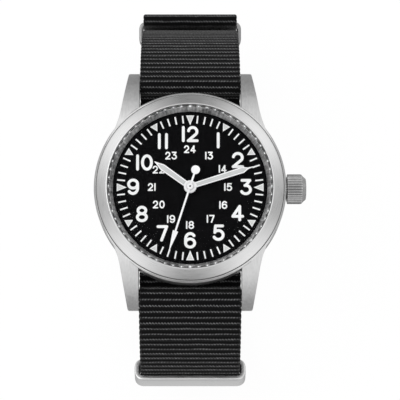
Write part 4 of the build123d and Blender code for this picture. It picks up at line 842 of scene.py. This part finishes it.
def ribbed_band(start, heading, steps, outer=1, taper=0.0, openings=()):
    """Woven band along a run. The section is a rounded bar of width 20.24 by 0.97; its ribs are
    evenly spaced on the outer face, so row r = distance - outer * (turned angle) / 2. The half
    thickness is 0.485 minus a groove of 0.15 (1 - |sin(pi r / pitch)|^0.6), and the edges draw in
    by 0.12 at each groove. Faces inside an opening (distance, half width, half length) are
    left out. The UV is the row and the distance across."""
    total = run_length(steps)
    s = np.linspace(0, total, int(total / rib_pitch * 9) + 2)
    y, z, way = along_run(start, heading, steps, s)
    row = s - outer * 0.5 * (way - way[0])
    rib = np.abs(np.sin(pi * row / rib_pitch)) ** 0.6
    end = np.clip((total - s) / 0.5, 0, 1) ** 0.5
    half, thick, edge = strap_width / 2 + 0.07, strap_thick / 2 - 0.015, 0.42
    groove, draw_in = 0.15 * (1 - rib)[:, None], 0.12 * (1 - rib)[:, None]
    flat = np.linspace(-1, 1, 8) * (half - edge)
    if openings:
        flat = np.r_[-(half - edge), -6, -3.5, np.linspace(-1.8, 1.8, 19), 3.5, 6, half - edge]
    n_flat = len(flat)
    turn = np.linspace(0, pi, 9)[1:-1]
    round_x = half - edge + edge * np.sin(turn)
    x = np.r_[flat, round_x, flat[::-1], -round_x]
    n = np.r_[np.full(n_flat, 1.0), np.cos(turn), np.full(n_flat, -1.0), -np.cos(turn)]
    rim = (np.abs(x) > half - edge + 0.01) * np.sign(x)
    wide = x[None] - rim[None] * draw_in
    wide = wide - np.sign(x)[None] * taper * (1 - end)[:, None]
    off = n[None] * (thick - groove) * (0.6 + 0.4 * end)[:, None]
    py = y[:, None] - off * np.sin(way)[:, None]
    pz = z[:, None] + off * np.cos(way)[:, None]
    points = np.stack([wide, py, pz], -1)
    u = np.broadcast_to(row[:, None], wide.shape)
    v = np.broadcast_to(np.where(n > -0.99, x, -x)[None], wide.shape)
    quads = np.array(grid_faces(len(s), len(x), wrap_columns=True))
    at, across = s[quads // len(x)].mean(1), x[quads % len(x)].mean(1)
    for distance, half_wide, half_long in openings:
        bulge = np.clip(np.abs(at - distance) - half_long + half_wide, 0, None)
        keep = across**2 + bulge**2 > half_wide**2
        quads, at, across = quads[keep], at[keep], across[keep]
    last = (len(s) - 1) * len(x)
    faces = quads.tolist() + [list(range(len(x)))[::-1], list(range(last, last + len(x)))]
    return points.reshape(-1, 3), faces, np.stack([u, v], -1).reshape(-1, 2)


def melted_rims(name, start, heading, steps, openings):
    """Heat-sealed lips: a small rounded section carried round each opening's outline, which is
    two half circles joined by straights, and set on the run by its distance."""
    lip = np.array([(0.42, 0.3), (0.4, 0.5), (0.22, 0.58), (0.04, 0.52), (0, 0.35), (0, -0.35),
                    (0.04, -0.52), (0.22, -0.58), (0.4, -0.5), (0.42, -0.3)])
    a = np.linspace(0, 2 * pi, 48, endpoint=False)
    parts = []
    for distance, half_wide, half_long in openings:
        r = half_wide - 0.08 + lip[None, :, 0]
        x = r * np.cos(a)[:, None]
        stretch = np.sign(np.sin(a))[:, None] * (half_long - half_wide)
        s = distance + r * np.sin(a)[:, None] + stretch
        y, z, way = along_run(start, heading, steps, s)
        off = np.broadcast_to(lip[None, :, 1], s.shape)
        points = np.stack([x, y - off * np.sin(way), z + off * np.cos(way)], -1)
        parts.append((points.reshape(-1, 3), grid_faces(len(a), len(lip), True, True)))
    return outward(make_piece(name, *gather(parts), melted_rim, "watch", "strap_fabric"))


def stitch_rows(name, start, heading, steps, rows):
    """Rows of thread across the band: spindles 1.5 long and 0.34 thick at (distance, face), where
    face is 1 or -1 for the side of the run; the half thickness along a spindle is
    0.17 sqrt(1 - t^2)."""
    rows = np.array(rows, float)
    y, z, way = along_run(start, heading, steps, rows[:, 0])
    t, a = np.linspace(-1, 1, 7), np.linspace(0, 2 * pi, 6, endpoint=False)
    r = (0.17 * np.sqrt(1 - t**2) + 0.01)[:, None]
    middle = np.linspace(-8.6, 8.6, 9)
    shape = (len(rows), len(middle), len(t), len(a))
    x = np.broadcast_to(middle[None, :, None, None] + 0.75 * t[None, None, :, None], shape)
    out = rows[:, 1][:, None, None, None] * 0.47 + (r * np.cos(a))[None, None]
    along = np.broadcast_to((r * np.sin(a))[None, None], shape)
    way = way[:, None, None, None]
    py = y[:, None, None, None] + along * np.cos(way) - out * np.sin(way)
    pz = z[:, None, None, None] + along * np.sin(way) + out * np.cos(way)
    points = np.stack([x, py, pz], -1).reshape(-1, len(t) * len(a), 3)
    faces = grid_faces(len(t), len(a), wrap_columns=True)
    faces += [list(range(6))[::-1], list(range(36, 42))]
    parts = [(spindle, faces) for spindle in points]
    return outward(make_piece(name, *gather(parts), sewing_thread, "watch", "strap_fabric"))


def strap_piece(name, bands, node):
    """One strap part from one or more bands, replacing its CAD node."""
    points, faces = gather([(p, f) for p, f, _ in bands])
    uv = np.vstack([u for _, _, u in bands])
    piece = make_piece(name, points, faces, strap_weave, "watch", "strap_fabric", uv)
    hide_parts(node)
    return outward(piece, merge=False)


main_start, under_start = (0, main_mid_z), (0, inner_mid_z)
tail_start = (strap_end_y, bottom_z + layer_step)
hem_start = run_length(run_12) - hem_length
below_hem = hem_start - 2 * radians(90) * wrap_r
hem_slot = [(hem_start - radians(90) * wrap_r, 1.1, 3.5)]
first_hole, hole_step, hole_r = 5.73468, 6.5, 0.95
tail_holes = [(first_hole, hole_r, 2.3)]
tail_holes += [(first_hole + hole_step * k, hole_r, hole_r) for k in (1, 2, 3)]
strap_piece("long_strap", [
    ribbed_band(main_start, 0, run_12, 1, 0.0, hem_slot),
    ribbed_band(main_start, 180, run_6, -1),
], "strap_long")
strap_piece("tail_strap", [
    ribbed_band(tail_start, 0, tail_run, 1, 0.9, tail_holes)], "strap_tail")
strap_piece("short_strap", [
    ribbed_band(under_start, 0, under_run_12), ribbed_band(under_start, 180, under_run_6, -1),
], "strap_short")
melted_rims("hem_slot_rim", main_start, 0, run_12, hem_slot)
melted_rims("tail_hole_rims", tail_start, 0, tail_run, tail_holes)
stitch_rows("hem_stitches", main_start, 0, run_12, [
    (hem_start + 1.3, 1), (hem_start + 3.6, 1), (below_hem - 1.3, 1), (below_hem - 3.6, 1)])
loop_end = run_length(under_run_6)
stitch_rows("loop_stitches", under_start, 180, under_run_6, [
    (loop_end - back, -1) for back in (3.9, 1.7, 10.7, 12.9)])


# ---- ring, keepers, buckle


def loop_band(name, point, way, near, far, half, wall, height, corner, node, material):
    """Closed metal band round the strap: a bar of wall by height with rounded edges, carried
    along a rectangle with round corners that stands square to the strap's run."""
    outline = np.array([(half, near), (half, far), (-half, far), (-half, near)])
    middle = outline - np.sign(outline - outline.mean(0)) * wall / 2
    middle = rounded(middle, corner - wall / 2, 12)
    ahead = np.roll(middle, -1, 0) - np.roll(middle, 1, 0)
    ahead /= np.linalg.norm(ahead, axis=1)[:, None]
    out = np.stack([-ahead[:, 1], ahead[:, 0]], -1)
    out *= np.sign(np.sum(out * (middle - outline.mean(0)), axis=1))[:, None]
    bar = rounded(np.array([(wall / 2, height / 2), (-wall / 2, height / 2),
                            (-wall / 2, -height / 2), (wall / 2, -height / 2)]), 0.28, 5)
    flat = middle[:, None] + out[:, None] * bar[None, :, :1]
    rise = np.broadcast_to(bar[None, :, 1], flat.shape[:2])
    a = radians(way)
    x = flat[..., 0]
    y = point[0] + flat[..., 1] * sin(a) + rise * cos(a)
    z = point[1] - flat[..., 1] * cos(a) + rise * sin(a)
    points = np.stack([x, y, z], -1)
    faces = grid_faces(len(middle), len(bar), True, True)
    piece = make_piece(name, points, faces, material, "watch", "hardware_steel")
    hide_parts(node)
    return outward(piece)


over_bar = flat_length + climb + radians(90) * under_bend_r + radians(over_bar_turn) * wrap_r
over_strap = 0.65
ring_wall, ring_height, ring_depth = 1.1, 3.2, 4.8
spot = run_spot(main_start, 180, run_6, over_bar + radians(36.5) * shoulder_r)
loop_band("strap_ring_band", spot[:2], np.degrees(spot[2]), over_strap + ring_wall - ring_depth,
          over_strap + ring_wall, strap_width / 2 + 0.15 + ring_wall, ring_wall, ring_height, 2.0,
          "strap_ring", hardware_steel)

keeper_wall, keeper_height = 0.9, 2.6
flank_start = over_bar + radians(shoulder_turn) * shoulder_r
lower_turn = radians(15) * flank_r + radians(45) * corner_r
# The keepers take the darkened steel, whose colour is painted shade.
for keeper, distance, far in (
    ("keeper_upper", flank_start + radians(13.6) * flank_r, 0.5 + layer_step + 2 * 0.56 + 0.3),
    ("keeper_lower", flank_start + lower_turn, 0.5 + layer_step + 0.15),
):
    spot = run_spot(main_start, 0, run_12, distance)
    loop_band(keeper + "_band", spot[:2], np.degrees(spot[2]), -far - keeper_wall,
              over_strap + keeper_wall, strap_width / 2 + 0.35 + keeper_wall, keeper_wall,
              keeper_height, 1.8, keeper, keeper_steel_painted_shade)

refined("buckle_frame", hardware_steel, 0.18, "buckle")
refined("buckle_bar", hardware_steel, 0.1, "buckle")
refined("buckle_tongue", hardware_steel, 0.18, "tongue")


# ---- floor, light, camera


def shade_node(tree, kind, operation=None, *inputs):
    """A shader node whose inputs are set, or linked where a socket is given, in order."""
    node = tree.nodes.new("ShaderNode" + kind)
    if operation:
        node.operation = operation
    for key, value in enumerate(inputs):
        if isinstance(value, bpy.types.NodeSocket):
            tree.links.new(value, node.inputs[key])
        else:
            node.inputs[key].default_value = value
    return node


def studio_tone(tree, way, low, high, rise, near=False):
    """Brightness that gloss sees in a direction (x, y, z): a dim wall of 0.24 with a bright panel
    above the horizon at each of its four corners, 4.6 x^2 y^2, a little more at the sides,
    0.24 x^2, and a ceiling or table that adds rise times a smooth step of |z|, the table
    only towards the front and back, times y^2."""
    parts = shade_node(tree, "SeparateXYZ", None, way).outputs
    x, y, z = parts["X"], parts["Y"], parts["Z"]

    def calc(operation, *inputs):
        return shade_node(tree, "Math", operation, *inputs).outputs[0]

    def smooth_step(*inputs):
        node = shade_node(tree, "MapRange", None, *inputs)
        node.interpolation_type = "SMOOTHSTEP"
        return node.outputs["Result"]

    side, front = calc("MULTIPLY", x, x), calc("MULTIPLY", y, y)
    corner = calc("MULTIPLY", calc("MULTIPLY", side, front), smooth_step(z, -0.08, 0.14))
    tone = calc("MULTIPLY_ADD", side, 0.24, calc("MULTIPLY_ADD", corner, 4.6, 0.24))
    height = smooth_step(calc("ABSOLUTE", z), low, high, 0.0, rise)
    if near:
        height = calc("MULTIPLY", height, front)
    return calc("ADD", tone, height)


def pale_floor():
    """Large pale floor at the lowest point: white to camera and glass, studio tone to gloss,
    and enough of its own shade to keep the object's shadow."""
    low = cad_box[0][2] / mm
    reach = 3000
    points = [(x * reach, y * reach, low) for x, y in ((-1, -1), (1, -1), (1, 1), (-1, 1))]
    floor = Finish("floor_white", Roughness=0.9)
    grain = floor.noise(30, 2.0)
    floor.use(Base_Color=floor.ramp(grain, (0.86, 0.86, 0.86), (0.88, 0.88, 0.88)))
    path = floor.add("LightPath")
    seen = floor.math("MAXIMUM", path.outputs["Is Camera Ray"], path.outputs["Is Transmission Ray"])
    glow = floor.add("Emission", {"Color": (1.0, 1.0, 1.0), "Strength": 1.02})
    spot = floor.add("TexCoord").outputs["Object"]
    way = floor.add("VectorMath", {0: spot}, operation="NORMALIZE").outputs["Vector"]
    panel = floor.add("Emission", {"Strength": studio_tone(floor.tree, way, 0.1, 0.6, 0.72, True)})
    white = floor.add("MixShader", {"Fac": floor.math("MULTIPLY", seen, 0.92)})
    shown = floor.add("MixShader", {"Fac": path.outputs["Is Glossy Ray"]})
    link = floor.tree.links.new
    link(floor.shader.outputs["BSDF"], white.inputs[1])
    link(glow.outputs["Emission"], white.inputs[2])
    link(white.outputs["Shader"], shown.inputs[1])
    link(panel.outputs["Emission"], shown.inputs[2])
    link(shown.outputs["Shader"], floor.tree.nodes["Material Output"].inputs["Surface"])
    mesh = bpy.data.meshes.new("floor")
    mesh.from_pydata(np.array(points) * mm, [], [(0, 1, 2, 3)])
    mesh.materials.append(floor.material)
    plane = bpy.data.objects.new("floor", mesh)
    bpy.context.scene.collection.objects.link(plane)


pale_floor()

world = bpy.data.worlds.new("studio")
bpy.context.scene.world = world
world.use_nodes = True
sky = world.node_tree
sky.nodes.clear()
white_light = (1, 1, 1, 1)
ray = shade_node(sky, "LightPath").outputs
where = shade_node(sky, "TexCoord").outputs["Generated"]
seen = shade_node(sky, "Math", "MAXIMUM", ray["Is Camera Ray"], ray["Is Transmission Ray"])
diffuse, gloss, backdrop = [
    shade_node(sky, "Background", None, white_light, strength).outputs[0]
    for strength in (0.92, studio_tone(sky, where, 0.3, 1.0, 0.66), 1.0)
]
lit = shade_node(sky, "MixShader", None, ray["Is Glossy Ray"], diffuse, gloss).outputs[0]
view = shade_node(sky, "MixShader", None, seen.outputs[0], lit, backdrop).outputs[0]
shade_node(sky, "OutputWorld", None, view)


def soft_lamp(name, place, aim, size, power):
    """A square soft lamp at a place, turned to its aim, in metres."""
    lamp = bpy.data.lights.new(name, "AREA")
    lamp.size = size
    lamp.energy = power
    holder = bpy.data.objects.new(name, lamp)
    bpy.context.scene.collection.objects.link(holder)
    holder.location = place
    way = Vector(aim) - Vector(place)
    holder.rotation_euler = way.to_track_quat("-Z", "Y").to_euler()


soft_lamp("lamp_left", (-0.3, 0.1, 0.42), (0, 0, 0), 0.35, 0.5)

camera = bpy.data.cameras.new("camera")
camera.lens = 150.8
camera.sensor_width = 36
camera.shift_x = 0.02464
camera.shift_y = -0.02713
camera.clip_start = 0.01
holder = bpy.data.objects.new("camera", camera)
holder.location = (0, -0.0548, 0.3333)
camera_tilt = 0.1659
holder.rotation_euler = (camera_tilt, 0, 0)
bpy.context.scene.collection.objects.link(holder)
bpy.context.scene.camera = holder
bpy.context.scene.view_settings.view_transform = "Standard"
